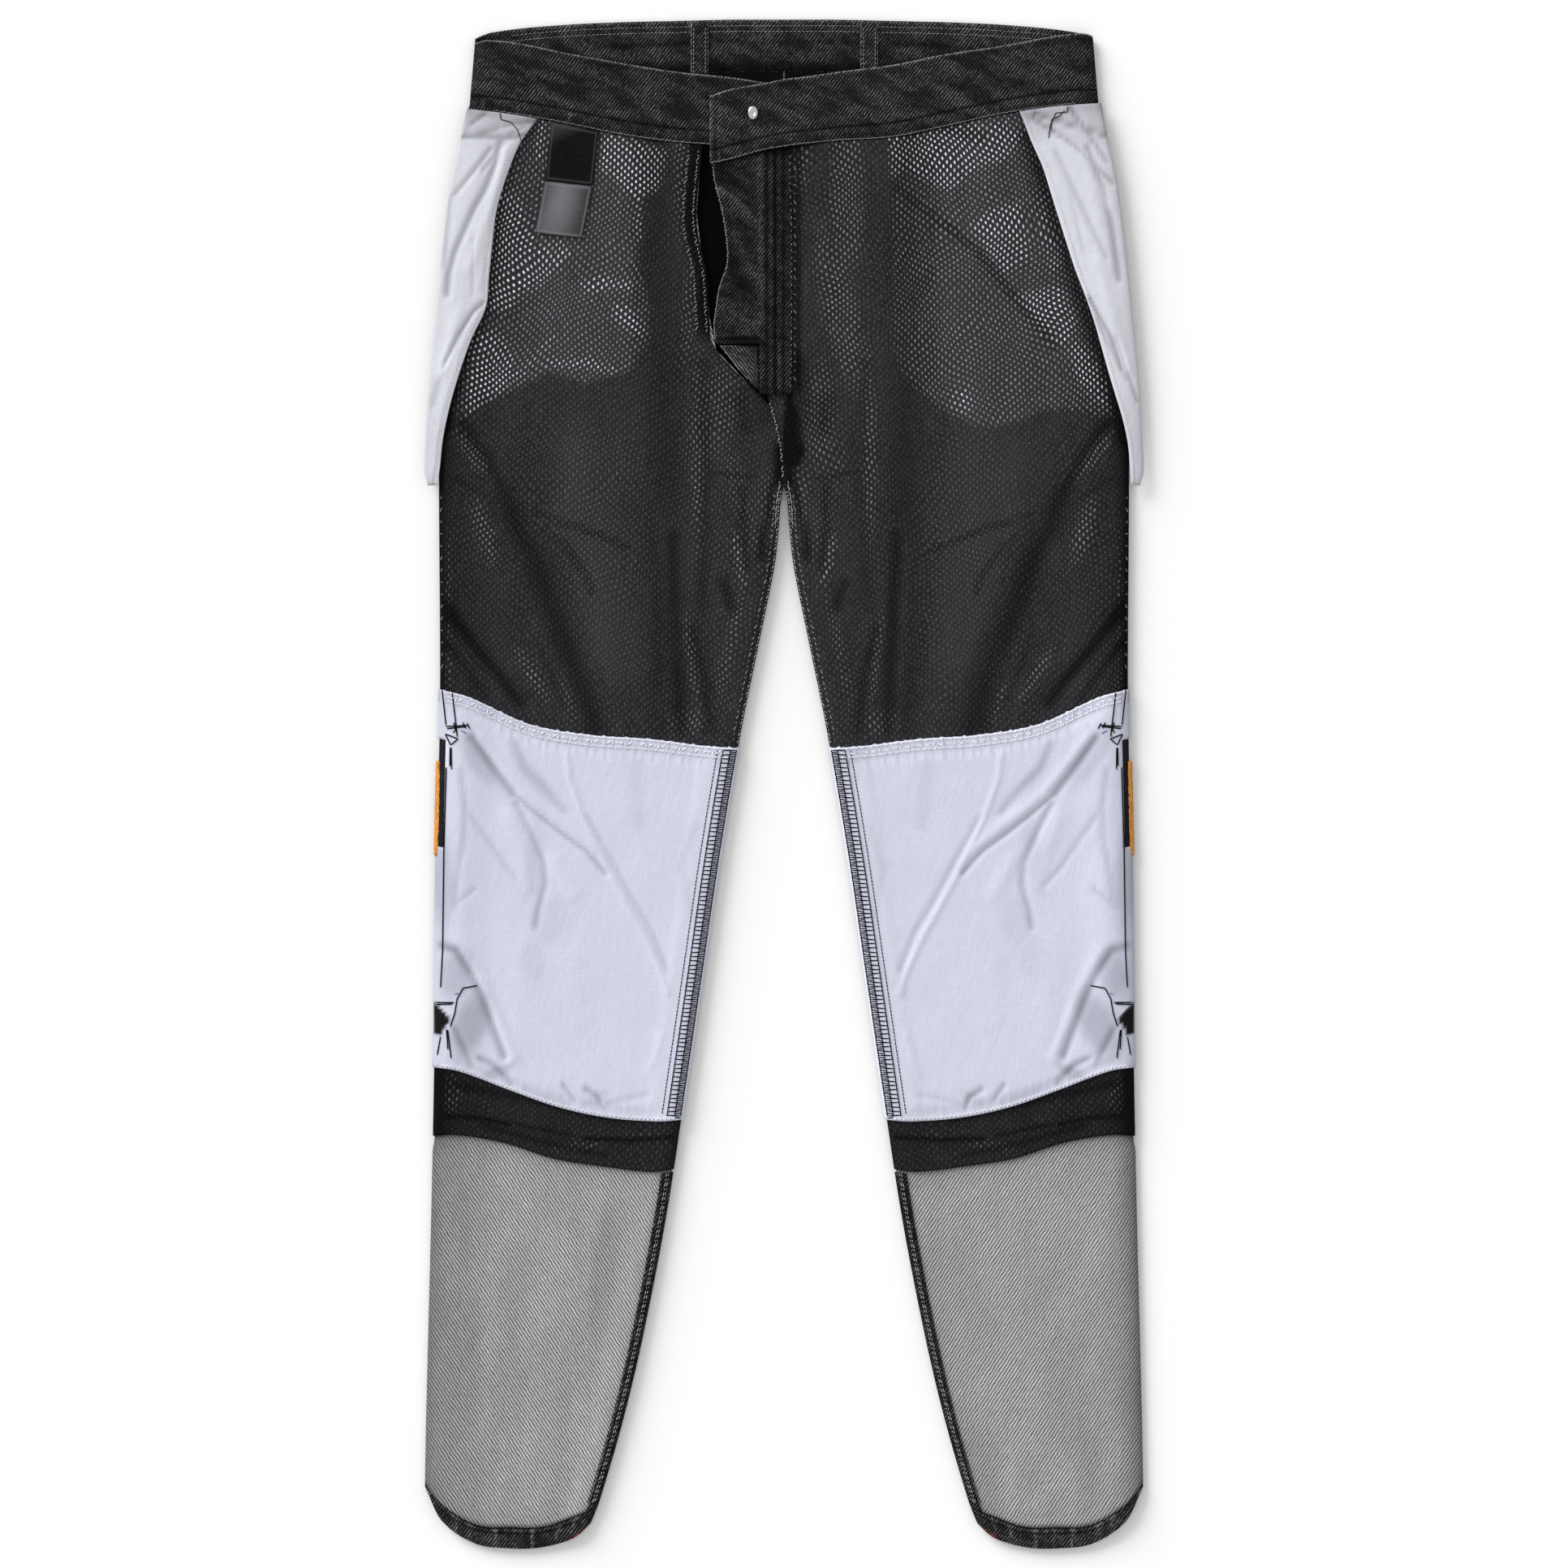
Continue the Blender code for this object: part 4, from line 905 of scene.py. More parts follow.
# Knee pockets
# Lilac-white cotton poplin, sewn on the lining across the knee to hold an armour plate. White thread hems
# their top and bottom, and the side by the leg's side seam stays open for the plate.
POPLIN_THICK = 0.8
KNEE_LOFT = 1.2             # by which the pocket stands off the lining
KNEE_LENGTH = 262.0
OPENING = (33.0, 109.0)     # from the pocket's top to the ends of its side opening
OPEN_ANGLE = 50             # degrees of the leg's roll over which the opening reaches
# Creases of a knee pocket: half width, height, then the places that each runs through
KNEE_CREASES = bent(
    (3.2, -1.6, (222, 33), (207, 12), (193, -7)), (1.8, -1.2, (193, -7), (178, -20), (159, -35),
    (141, -48), (127, -64)),
    (4, 0.8, (217, 33), (201, 12), (186, -6), (170, -19), (151, -33), (135, -47)),
    (2.6, -0.9, (191, -14), (180, -36), (171, -56), (170, -72), (175, -90), (177, -102)),
    (6, 0.6, (196, -24), (186, -49), (183, -72)), (6, 0.7, (162, -56), (150, -78)),
    (3.4, -0.7, (191, 28), (183, 9), (169, -4), (156, -20)), (2.2, -0.55, (224, -22), (211, -40),
    (198, -59), (186, -73)),
    (1.8, 0.75, (155, 23), (153, 4), (145, -19), (135, -41), (124, -64), (111, -88), (98, -111),
    (88, -133), (83, -149)),
    (2.2, -0.6, (140, -24), (120, -59), (108, -82), (93, -107), (83, -133)),
    (2.4, -0.7, (230, 9), (227, -17), (228, -40), (233, -65), (235, -88)), (1.5, -0.7, (233, -85),
    (221, -75)),
    (3.2, -1.7, (244, -115), (233, -119), (222, -136), (213, -156), (207, -173), (199, -194)),
    (5, 0.9, (228, -120), (214, -143), (203, -172), (193, -194)), (2.4, -1.3, (217, -196), (207, -201),
    (195, -213)),
    (2.4, -1.0, (235, -175), (227, -191), (223, -201)), (1.8, -1.0, (157, -215), (150, -225)),
    (2.0, -1.2, (141, -218), (133, -223), (129, -231)), (2.2, -0.45, (125, -228), (98, -222)),
    (2.4, -0.7, (185, -218), (156, -228)), (6, -0.3, (104, 12), (101, -30)), (3, -0.3, (62, -30),
    (72, -62), (64, -94)),
    (3, 0.4, (88, -180), (96, -206)), (8, 0.3, (150, -125), (148, -170)), (10, 0.4, (190, -120),
    (186, -180)),
)
# Where the pocket falls back into shadow: centre x, y, half width, half height, turn, strength
KNEE_SHADOWS = (
    (234, -135, 10, 18, 12, 0.4), (224, -172, 12, 24, 22, 0.5), (243, -70, 7, 34, 0, 0.3),
    (218, 18, 8, 22, -32, 0.3),
    (166, -98, 12, 18, 20, 0.12), (178, -126, 8, 16, -10, 0.1), (180, 6, 6, 22, -36, 0.14),
    (178, -50, 6, 30, 10, 0.12),
    (206, -206, 12, 4, -26, 0.35), (134, -224, 10, 4, -30, 0.2),
)
TORN_PLACE = ((250, -155), (242, -163), (237.5, -168), (242, -174), (245, -180), (250, -178))


# Cotton: cool white with a faint thread grain both ways, matt, with painted shade greying it in its creases
# and shadows.
def white_cotton(name, pale, deep, shadow):
    material, tree, shader, place = new_material(name, 0.85, 0.15)
    warp_threads = noise(tree, place, 90, 9.0, 0.55, 2.0)
    weft_threads = noise(tree, place, 0, 9.0, 0.55, 2.0)
    cloud = noise(tree, place, 40, 46.0, 26.0, 3.0)
    crush = noise(tree, place, 75, 16.0, 6.0, 3.0)
    grain = math_node(tree, "ADD", warp_threads, weft_threads)
    colour = blend_colour(tree, spread(tree, grain, 0.75, 1.25), linear(deep), linear(pale))
    colour = blend_colour(tree, spread(tree, cloud, 0.4, 0.7, 0.0, 0.6), colour, linear(deep))
    colour = blend_colour(tree, mark_value(tree, "shade"), colour, linear(shadow))
    colour = blend_colour(tree, mark_value(tree, "torn"), colour, linear("#0c0c0d"))
    tree.links.new(colour, shader.inputs["Base Color"])
    add_bump(tree, shader, math_node(tree, "ADD", math_node(tree, "MULTIPLY", grain, 0.25), crush), 0.3)
    return material


knee_poplin = white_cotton("poplin_lilac_white", "#d1d3e3", "#c6c8d8", "#7b7c8a")
knee_levels = np.linspace(KNEE_TOP, KNEE_BOTTOM, 131)
knee_columns = panel_columns(76, run_count=12)
knee_panel = {"side": "left", "face": "front", "cloth": "lining"}   # both knees share one shape


def knee_stand_off(column):
    """How far a knee pocket stands off the lining down a column."""
    base = panel_column(knee_panel, knee_levels, column, 0.0)
    x, y = base[:, 0], base[:, 1]
    to_side = smooth(SIDE_EDGE, y) - x
    to_inner = x - inner_edge(knee_panel, y)
    down = (knee_levels - KNEE_TOP) * KNEE_LENGTH
    up = KNEE_LENGTH - down
    room = ease((to_side - 6) / 14) * ease((to_inner - 12) / 12) * ease((down - 6) / 12) * ease((up - 3) / 9)
    pulled = ease((to_side - 6) / 14) * ease((to_inner - 12) / 8)
    gathers = 0.34 * uneven_waves(x + 0.12 * y, (4.3, 6.9, 3.1), 1.4) * bell(down - 11, 6.0)
    gathers = gathers + 0.3 * uneven_waves(x, (5.3, 8.1, 3.7), 1.4) * bell(up - 7, 5.0)
    hems = 0.3 * ease((9.0 - down) / 0.8) + 0.25 * ease((2.6 - up) / 0.8)
    return np.maximum(-0.1, room * (KNEE_LOFT + ridges(KNEE_CREASES, x, y))) + pulled * gathers + hems


def knee_route(down):
    """A line across a knee pocket, a distance below its top, as x, y places."""
    row = panel_sheet(knee_panel, [KNEE_TOP + down / KNEE_LENGTH], knee_columns, 0.0)[0]
    return [(x, y) for x, y, z in row[5:-5]]


stand_offs = np.stack([knee_stand_off(column) for column in knee_columns], axis=1)
opening_top, opening_bottom = [KNEE_TOP + down / KNEE_LENGTH for down in OPENING]
row_open = (knee_levels[:-1] >= opening_top) & (knee_levels[1:] <= opening_bottom)
column_open = np.array([kind == "side roll" and angle < OPEN_ANGLE for kind, angle in knee_columns[:-1]])
keep = ~(row_open[:, None] & column_open[None, :])
stand_rows = (knee_levels[:, None] - KNEE_TOP) * KNEE_LENGTH
outer = panel_sheet(knee_panel, knee_levels, knee_columns, -GAP - POPLIN_THICK)
inner = panel_sheet(knee_panel, knee_levels, knee_columns, -GAP)
outer[..., 2] += stand_offs
inner[..., 2] += stand_offs
x, y = outer[..., 0], outer[..., 1]
ragged_top = 0.9 * (uneven_waves(x, (5.3, 8.1, 3.7), 1.4) - 0.4) * np.exp(-stand_rows / 5.0)
outer[..., 1] += ragged_top
inner[..., 1] += ragged_top
# Painted shade: toward the side edge, in the creases and shadows, and between the gathers along the hems
shade = 0.4 * np.exp(-(smooth(SIDE_EDGE, y) - x) / 5.0) + spots(KNEE_SHADOWS, x, y)
shade = shade + 0.36 * np.maximum(0.0, -ridges(KNEE_CREASES, x, y))
shade = shade + (0.02 + 0.3 * uneven_waves(x, (2.7, 4.1), 1.6)) * ease((9.0 - stand_rows) / 0.8)
shade = shade + 0.3 * uneven_waves(x + y, (3.3, 4.7), 1.6) * bell(KNEE_LENGTH - stand_rows - 2, 2.0)
shade = shade + 0.3 * uneven_waves(x + 0.12 * y, (4.3, 6.9), 1.4) * bell(stand_rows - 12, 4.0)
marks = {"shade": np.clip(shade, 0, 1), "torn": inside_outline(TORN_PLACE, x, y, 1.5)}

# A pocket's sewing: a black seam beside the inseam, the black overlock over the allowance in rungs between
# chains, white cover stitch along the top hem, a white zigzag along the bottom hem, and the black tacks,
# slits and loose ends about the side opening.
SEAM_IN = 14.2              # from the inseam to the straight seam
CHAINS_IN = (10.4, 5.0, 0.7)    # from the inseam to the overlock's three chains
RUNG_PITCH = 3.1
POCKET_REACH = (24, -238, 60)   # y of the first and last place of a route down a pocket, and its places
LOOP_PITCH = 1.7
# Rows of the cover stitch: distance below the pocket's top, pitch, share of it that a stitch fills, waver
COVER_ROWS = ((1.4, 2.2, 0.62, 0.35), (4.4, 3.0, 0.5, 1.2), (7.6, 2.4, 0.62, 0.35))
# Black tacks, slits and loose ends about the side opening, each as the places that it runs through
SIDE_SLITS = (
    ((243.9, 67), (241, 41)), ((236.9, 67), (233.7, 41), (232.9, 33)), ((241.2, 41), (233, 41.4),
    (224.8, 42.1)),
    ((240.5, 39.5), (226, 41)), ((241.6, 35.6), (237.7, 27.8), (232.5, 32.2), (241.6, 35.6)),
    ((237.3, 26), (237.1, 10)),
    ((238, 26), (238.2, 12)), ((235.4, 44), (234.3, 38), (236.8, 36)),
    ((218.6, -143.8), (228.8, -145.5), (233, -153.2), (234.7, -163.4), (238.1, -173.6)),
    ((248.3, -155.8), (234.7, -155.8)), ((248.3, -157.2), (236, -156.8)), ((239.8, -175.3),
    (237.3, -195.7)),
    ((245, -180.4), (247.5, -194)), ((240.6, -175), (239.6, -190)), ((226, 43.5), (223.5, 38.5)),
    ((229, 44), (227, 39.5)),
    ((241, 12), (242.5, -40), (243.5, -118), (245, -146)),
)
BLUE_TICKS = (((230.5, 38.3), (226.2, 36.0)), ((234.6, -149.8), (231.7, -149.0)))


def overlock_rungs(route, side, names, reach, pitch):
    """Cross threads between two chains that run at set distances from a route."""
    sign = -1.0 if side == "left" else 1.0
    lines = []
    for i, (edge_x, y) in enumerate(walk(route, pitch)):
        slant = 0.7 * math.sin(i * 1.9)
        places = [(edge_x + mix(*reach, share), y + slant * (share - 0.5))
                  for share in (0.0, 0.33, 0.67, 1.0)]
        lines.append([(sign * px, py, top_at(names, sign * px, py, 0.18, 4.0)) for px, py in places])
    return lines


pocket_parts = {}
for side in ("left", "right"):
    sign = -1.0 if side == "left" else 1.0
    piece = add_shell(f"knee_pocket_{side}", signed(outer, side), signed(inner, side), (knee_poplin,),
                      marks, keep)
    names = [piece.name]
    route = edge_route(INSEAM, SEAM_IN, *POCKET_REACH)
    seam = stitches(route, names, side, 2.6, 0.86, 0.05, waver=0.12)
    chains = []
    for offset in CHAINS_IN:
        route = edge_route(INSEAM, offset, *POCKET_REACH)
        chains += stitches(route, names, side, LOOP_PITCH, 1.05, 0.2, waver=0.3)
    route = edge_route(INSEAM, 0.0, *POCKET_REACH)
    rungs = overlock_rungs(route, side, names, (CHAINS_IN[0], CHAINS_IN[2]), RUNG_PITCH)
    staggered = [(x, y - RUNG_PITCH / 2) for x, y in route]
    rungs += overlock_rungs(staggered, side, names, CHAINS_IN[1:], RUNG_PITCH)
    cover = []
    for down, pitch, share, waver in COVER_ROWS:
        cover += stitches(knee_route(down), names, side, pitch, share, 0.12, waver=waver)
    zigzag = []
    for i, (x, y) in enumerate(walk(knee_route(KNEE_LENGTH - 1.6), 1.5)):
        y += 1.1 if i % 2 else -1.1
        zigzag.append((sign * x, y, top_at(names, sign * x, y, 0.15, 5.0)))
    tacks = [cord_line(line, names, side, 0.2, 1.2) for line in SIDE_SLITS]
    ticks = [cord_line(line, names, side, 0.25, 1.2) for line in BLUE_TICKS]
    threads = (
        add_threads(f"knee_seam_{side}", seam, 0.4, black_thread),
        add_threads(f"knee_chains_{side}", chains, 0.52, black_thread),
        add_threads(f"knee_rungs_{side}", rungs, 0.46, black_thread),
        add_threads(f"knee_tacks_{side}", tacks, 0.5, black_thread),
        add_threads(f"knee_blue_ticks_{side}", ticks, 0.3, blue_thread),
        add_threads(f"knee_cover_stitch_{side}", cover, 0.5, white_thread),
        add_threads(f"knee_zigzag_{side}", [zigzag], 0.5, white_thread),
    )
    pocket_parts[side] = (piece, outer, threads, keep)

# Trims in a knee pocket's side opening
# Black hook tape and, outside it, the orange aramid lining's cut edge. Both are strips on the leg's roll.
# Hook tape: black, with rows of fine hooks. Aramid: orange-brown fleece with pale fibres.
def napped(name, deep, pale, fibre_length):
    material, tree, shader, place = new_material(name, 0.95, 0.15)
    fibres = noise(tree, place, 78, fibre_length, 0.6, 3.0)
    colour = blend_colour(tree, spread(tree, fibres, 0.35, 0.65), linear(deep), linear(pale))
    tree.links.new(colour, shader.inputs["Base Color"])
    add_bump(tree, shader, fibres, 0.5)
    return material


hook_tape = napped("hook_tape_black", "#0a0a0b", "#232326", 1.4)
orange_fleece = napped("aramid_orange", "#a96a2c", "#dd9c50", 4.0)
# Node, its reach down from the pocket's top, its angles on the roll, its lift, how far it tapers, cloth, slot
TRIMS = (
    ("knee_hook_tape", (33.0, 111.0), (29, 56), 0.15, 0.0, hook_tape, "hook_tape"),
    ("knee_lining_edge", (50.0, 115.0), (0, 32), 0.35, 2.0, orange_fleece, "orange_lining"),
)
TRIM_HALF = 0.4             # half the thickness of a trim
TRIM_BULGE = 0.6            # share of its taper by which a trim stands out in its middle
for side in ("left", "right"):
    for node, reach, angles, lift, taper, material, slot in TRIMS:
        levels = KNEE_TOP + np.linspace(*reach, 40) / KNEE_LENGTH
        columns = [("side roll", angle) for angle in np.linspace(*angles, 6)]
        outer = panel_sheet(knee_panel, levels, columns, -GAP - lift - TRIM_HALF)
        inner = panel_sheet(knee_panel, levels, columns, -GAP - lift + TRIM_HALF)
        ragged = (uneven_waves(outer[..., 1], (4.3, 7.9, 12.7), 1.5) - 0.6) * np.linspace(0.0, 1.0, 6) ** 2
        bulge = np.cos(np.linspace(-0.5, 0.5, 40) * math.pi)[:, None] * np.linspace(0.0, 1.0, 6)
        outer[..., 0] -= 1.2 * ragged + taper * (bulge - TRIM_BULGE)
        trim = add_shell(f"{node}_{side}", signed(outer, side), signed(inner, side), (material,))
    piece, sheet, threads, keep = pocket_parts[side]

# Pocket bags
# White cotton twill bags of the front pockets. Turned out over the lining, they hang from the band over
# the hips and fall past the side seams in long soft creases.
BAG_THICK = 1.2
BAG_SOLID = 2.0
# Outline of the left bag: y, distance of its inner and outer edge from the centre line
BAG_ROWS = (
    (476, 176.0, 226.0), (456, 188.8, 231.7), (433, 198.0, 236.9), (409, 205.0, 240.4),
    (386, 207.9, 243.3), (363, 210.3, 245.6), (340, 212.6, 248.0), (317, 223.0, 250.3),
    (294, 231.1, 252.4), (270, 238.1, 254.2), (247, 243.0, 255.5), (224, 245.6, 256.6), (213, 247.4, 254.0),
)
BAG_REACH = 26.0            # half width of the curve in which the bag falls past the side's roll
BAG_FLOOR = 2.0
# Inner edge of the right bag, which the mesh covers less: y, distance from the centre line
RIGHT_BAG_EDGE = (
    (476, 168.0), (458, 176.5), (440, 184.5), (422, 190.2), (404, 195.8), (386, 201.5), (367, 207.6),
    (349, 214.5),
    (331, 220.8), (313, 226.0), (295, 231.0), (277, 236.4), (259, 241.8), (240, 245.6), (213, 247.4),
)
# Creases of the bags: half width, height, then the places that each runs through
BAG_CREASES = {
    "left": bent(
        (1.8, -1.2, (228, 462), (199, 460), (186, 463)), (1.8, -1.0, (218, 463), (200, 469), (186, 472),
        (174, 474)),
        (1.6, -1.0, (224, 470), (213, 478)), (1.6, -0.8, (195, 463), (184, 470)),
        (2.4, -1.3, (202, 459), (206, 441), (213, 424), (221, 410), (229, 392), (235, 378), (239, 363),
        (240, 349)),
        (4, 0.8, (198, 452), (204, 424), (214, 398), (224, 368)), (1.7, -1.0, (209, 453), (221, 437),
        (235, 420)),
        (1.7, -0.8, (199, 457), (215, 437)), (3, -0.6, (238, 418), (240, 398), (242, 369)),
        (1.6, -1.3, (215, 343), (222, 336), (232, 320), (242, 299)), (1.4, -0.7, (229, 322), (238, 305)),
        (3, -0.6, (245, 288), (250, 270)), (1.2, -0.5, (221, 389), (222, 349)), (4, 0.7, (232, 335),
        (244, 292)),
        (1.2, -0.4, (212, 384), (215, 350)), (3, 0.6, (210, 470), (190, 466)),
    ),
    "right": bent(
        (1.8, -1.2, (179, 478), (201, 471), (228, 463)), (1.6, -1.1, (203, 483), (216, 465), (230, 444)),
        (1.8, -1.2, (176, 476), (208, 454), (234, 429)), (4, 0.7, (196, 458), (216, 436), (232, 412)),
        (2.6, -1.3, (216, 454), (227, 425), (234, 396), (239, 360)), (2.2, -0.7, (194, 451), (216, 404),
        (230, 375)),
        (1.8, -1.4, (218, 346), (234, 317), (241, 295)), (1.5, -0.8, (223, 331), (245, 288)),
        (1.6, -0.9, (237, 317), (252, 273)), (4, 0.7, (224, 372), (238, 322)), (1.2, -0.5, (204, 420),
        (214, 380)),
        (4, 0.6, (212, 446), (226, 402)), (3, 0.6, (232, 340), (246, 296)),
    ),
}
# Loose thread ends at the bags' tops
LOOSE_ENDS = {
    "left": (((202.7, 480), (201.8, 473.6), (194.8, 472), (190.1, 466.6), (187, 457.4)),),
    "right": (((202.5, 483), (201.8, 479), (193.7, 478.3), (189.7, 469.3), (188.5, 459.5)),
              ((200, 480), (196, 476), (191, 474), (190.4, 466))),
}
bag_twill = white_cotton("bag_twill_white", "#d4d5dc", "#c8c9d0", "#77787e")
for side in ("left", "right"):
    sign = -1.0 if side == "left" else 1.0
    ys = np.linspace(BAG_ROWS[0][0], BAG_ROWS[-1][0], 106)
    edge_rows = BAG_ROWS if side == "left" else RIGHT_BAG_EDGE
    inner_x = smooth(edge_rows, ys)[:, None]
    outer_x = smooth(BAG_ROWS, ys, 2)[:, None]
    x = mix(inner_x, outer_x, np.linspace(0.0, 1.0, 25)[None, :])
    band_low = smooth(BAND_TABLE, x[:1], BAND_COLUMN[f"front {side}"][0]) - WAIST_GAP / 2
    y = ys[:, None] + (band_low - ys[0]) * ease(1 - (ys[0] - ys[:, None]) / 20)
    past = np.clip((x - smooth(SIDE_EDGE, y) + SIDE_ROLL) / BAG_REACH, 0.0, 1.0)
    to_roll = smooth(SIDE_EDGE, y) - x - SIDE_ROLL
    lining_top = mix(LINED_MIDDLES[0], LINED_TOP, 1 - np.clip(to_roll / SIDE_RUN, 0, 1))
    under = BAG_FLOOR + (lining_top + GAP - BAG_FLOOR) * np.sqrt(1 - past ** 2)
    to_inner = x - inner_x
    fold = ease(to_inner / 3.0) * ease((outer_x - x) / 3.0 + 0.4) * ease((y - ys[-1]) / 6)
    puckers = 0.22 * uneven_waves(y, (3.6, 5.9), 1.3) * bell(to_inner - 3, 1.5)
    creases = ridges(BAG_CREASES[side], x, y)
    relief = np.maximum(-0.5, fold * (0.6 + creases)) + puckers
    relief = relief - 0.3 * bell(to_inner - 3, 0.8)
    over = np.stack([sign * x, y, under + BAG_SOLID + relief], axis=-1)
    beneath = np.stack([sign * x, y, under + BAG_SOLID - BAG_THICK + np.minimum(relief, 0.0)], axis=-1)
    # Painted shade: in the band's shadow, at the top, toward the outer edge, lower down, in the creases and
    # beside the folded inner edge
    shade = 0.55 * np.exp(-np.abs(y - band_low) / 5.0) + 0.22 * ease((y - 452) / 14)
    shade = shade + 0.3 * np.exp(-(outer_x - x) / 3.0) + 0.12 * ease((300 - y) / 60)
    shade = shade + 0.4 * np.maximum(0.0, -creases) + 0.3 * bell(to_inner - 3, 0.9)
    piece = add_shell(f"pocket_bag_{side}", over, beneath, (bag_twill,),
                      {"shade": np.clip(shade, 0, 1)})
    seam = stitches(edge_route(edge_rows, 3.0, 470, 226, 80), [piece.name], side, 3.0, 0.66, 0.05)
    names = [piece.name, f"lining_front_{side}_cloth"]
    ends = [cord_line(line, names, side, 0.3, 1.0, 8.0) for line in LOOSE_ENDS[side]]
    add_threads(f"bag_seam_{side}", seam, 0.22, white_thread)
    add_threads(f"bag_loose_ends_{side}", ends, 0.3, black_thread)

# Waistband
# Black denim, folded double, in three stretches: two front ends and the back. A seam runs above its lower
# edge with painted shade in its groove, the strip below it is puckered, the puckers' tops paler from wear and
# painted highlight, and its folded edges are worn pale. Painted shade also darkens the front ends toward the
# side and the back deep in the waist opening.
BAND_THICK = 1.8
BAND_SOLID = 2.6
LEFT_END = 8.0              # the left end stops short of the centre line, under the right end
RIGHT_END = -53.0           # the right end laps past the centre line
LAP_START = 30.0
LAP_FULL = 2.0
BAND_HEIGHTS = (8.4, 7.2)   # its top by the side's roll and elsewhere
BAND_WIDTH = 50.0
CORNER_DROP = 4.0           # by which the upper edge falls off at the side, where the band folds back
SEAM_UP = 10.0              # from the lower edge to the seam
# Soft waves of the band: start x, y, end x, y, half width, height
BAND_WAVES = (
    (200, 512, 150, 492, 6, 0.5), (180, 500, 120, 478, 5, -0.4), (140, 505, 60, 486, 6, 0.4),
    (90, 498, 40, 482, 5, -0.4),
    (60, 480, 20, 470, 5, 0.4), (215, 500, 190, 494, 6, 0.4), (110, 476, 60, 470, 4, 0.4),
    (0, 488, -30, 476, 6, -0.3),
)


def band_sheet(end, places, rows, depth):
    """Points of a waistband's end; a place is an angle on the side's roll or a distance from the centre."""
    points = []
    for kind, value in places:
        edge = mix(*BAND_EDGE, rows)
        base_x = value + 0.0 * rows
        if kind == "roll":
            base_x = edge - SIDE_ROLL * (1 - math.cos(math.radians(value)))
        if end == "back":
            low = smooth(tuple(zip(ACROSS, BACK_WAIST)), 1 - np.abs(base_x) / BAND_EDGE[0])
            high = smooth(BAND_TABLE, base_x, 5)
            flat = depth + 0.0 * rows
            half_gap = -GAP / 2
        else:
            low_column, high_column = BAND_COLUMN[end]
            low = smooth(BAND_TABLE, base_x, low_column)
            high = smooth(BAND_TABLE, base_x, high_column)
            share = 1 - ease((BAND_EDGE[0] - SIDE_ROLL - np.abs(base_x)) / SIDE_RUN)
            lap = ease((LAP_START - base_x) / (LAP_START - LAP_FULL)) if end == "front right" else 0.0
            flat = mix(BAND_HEIGHTS[1], BAND_HEIGHTS[0], share) + lap * (BAND_SOLID + GAP) - depth
            half_gap = GAP / 2
        high = high - CORNER_DROP * np.clip((np.abs(base_x) - BAND_EDGE[1] + 10) / 12, 0, 1) ** 2
        x = base_x
        z = flat
        if kind == "roll":
            angle = math.radians(value)
            x = edge - SIDE_ROLL + (SIDE_ROLL - depth) * math.cos(angle)
            z = LINED_SEAM + half_gap + (flat - LINED_SEAM - half_gap) * math.sin(angle)
        points.append(np.stack([x, mix(low + WAIST_GAP / 2, high, rows), z], axis=-1))
    return np.stack(points, axis=1)


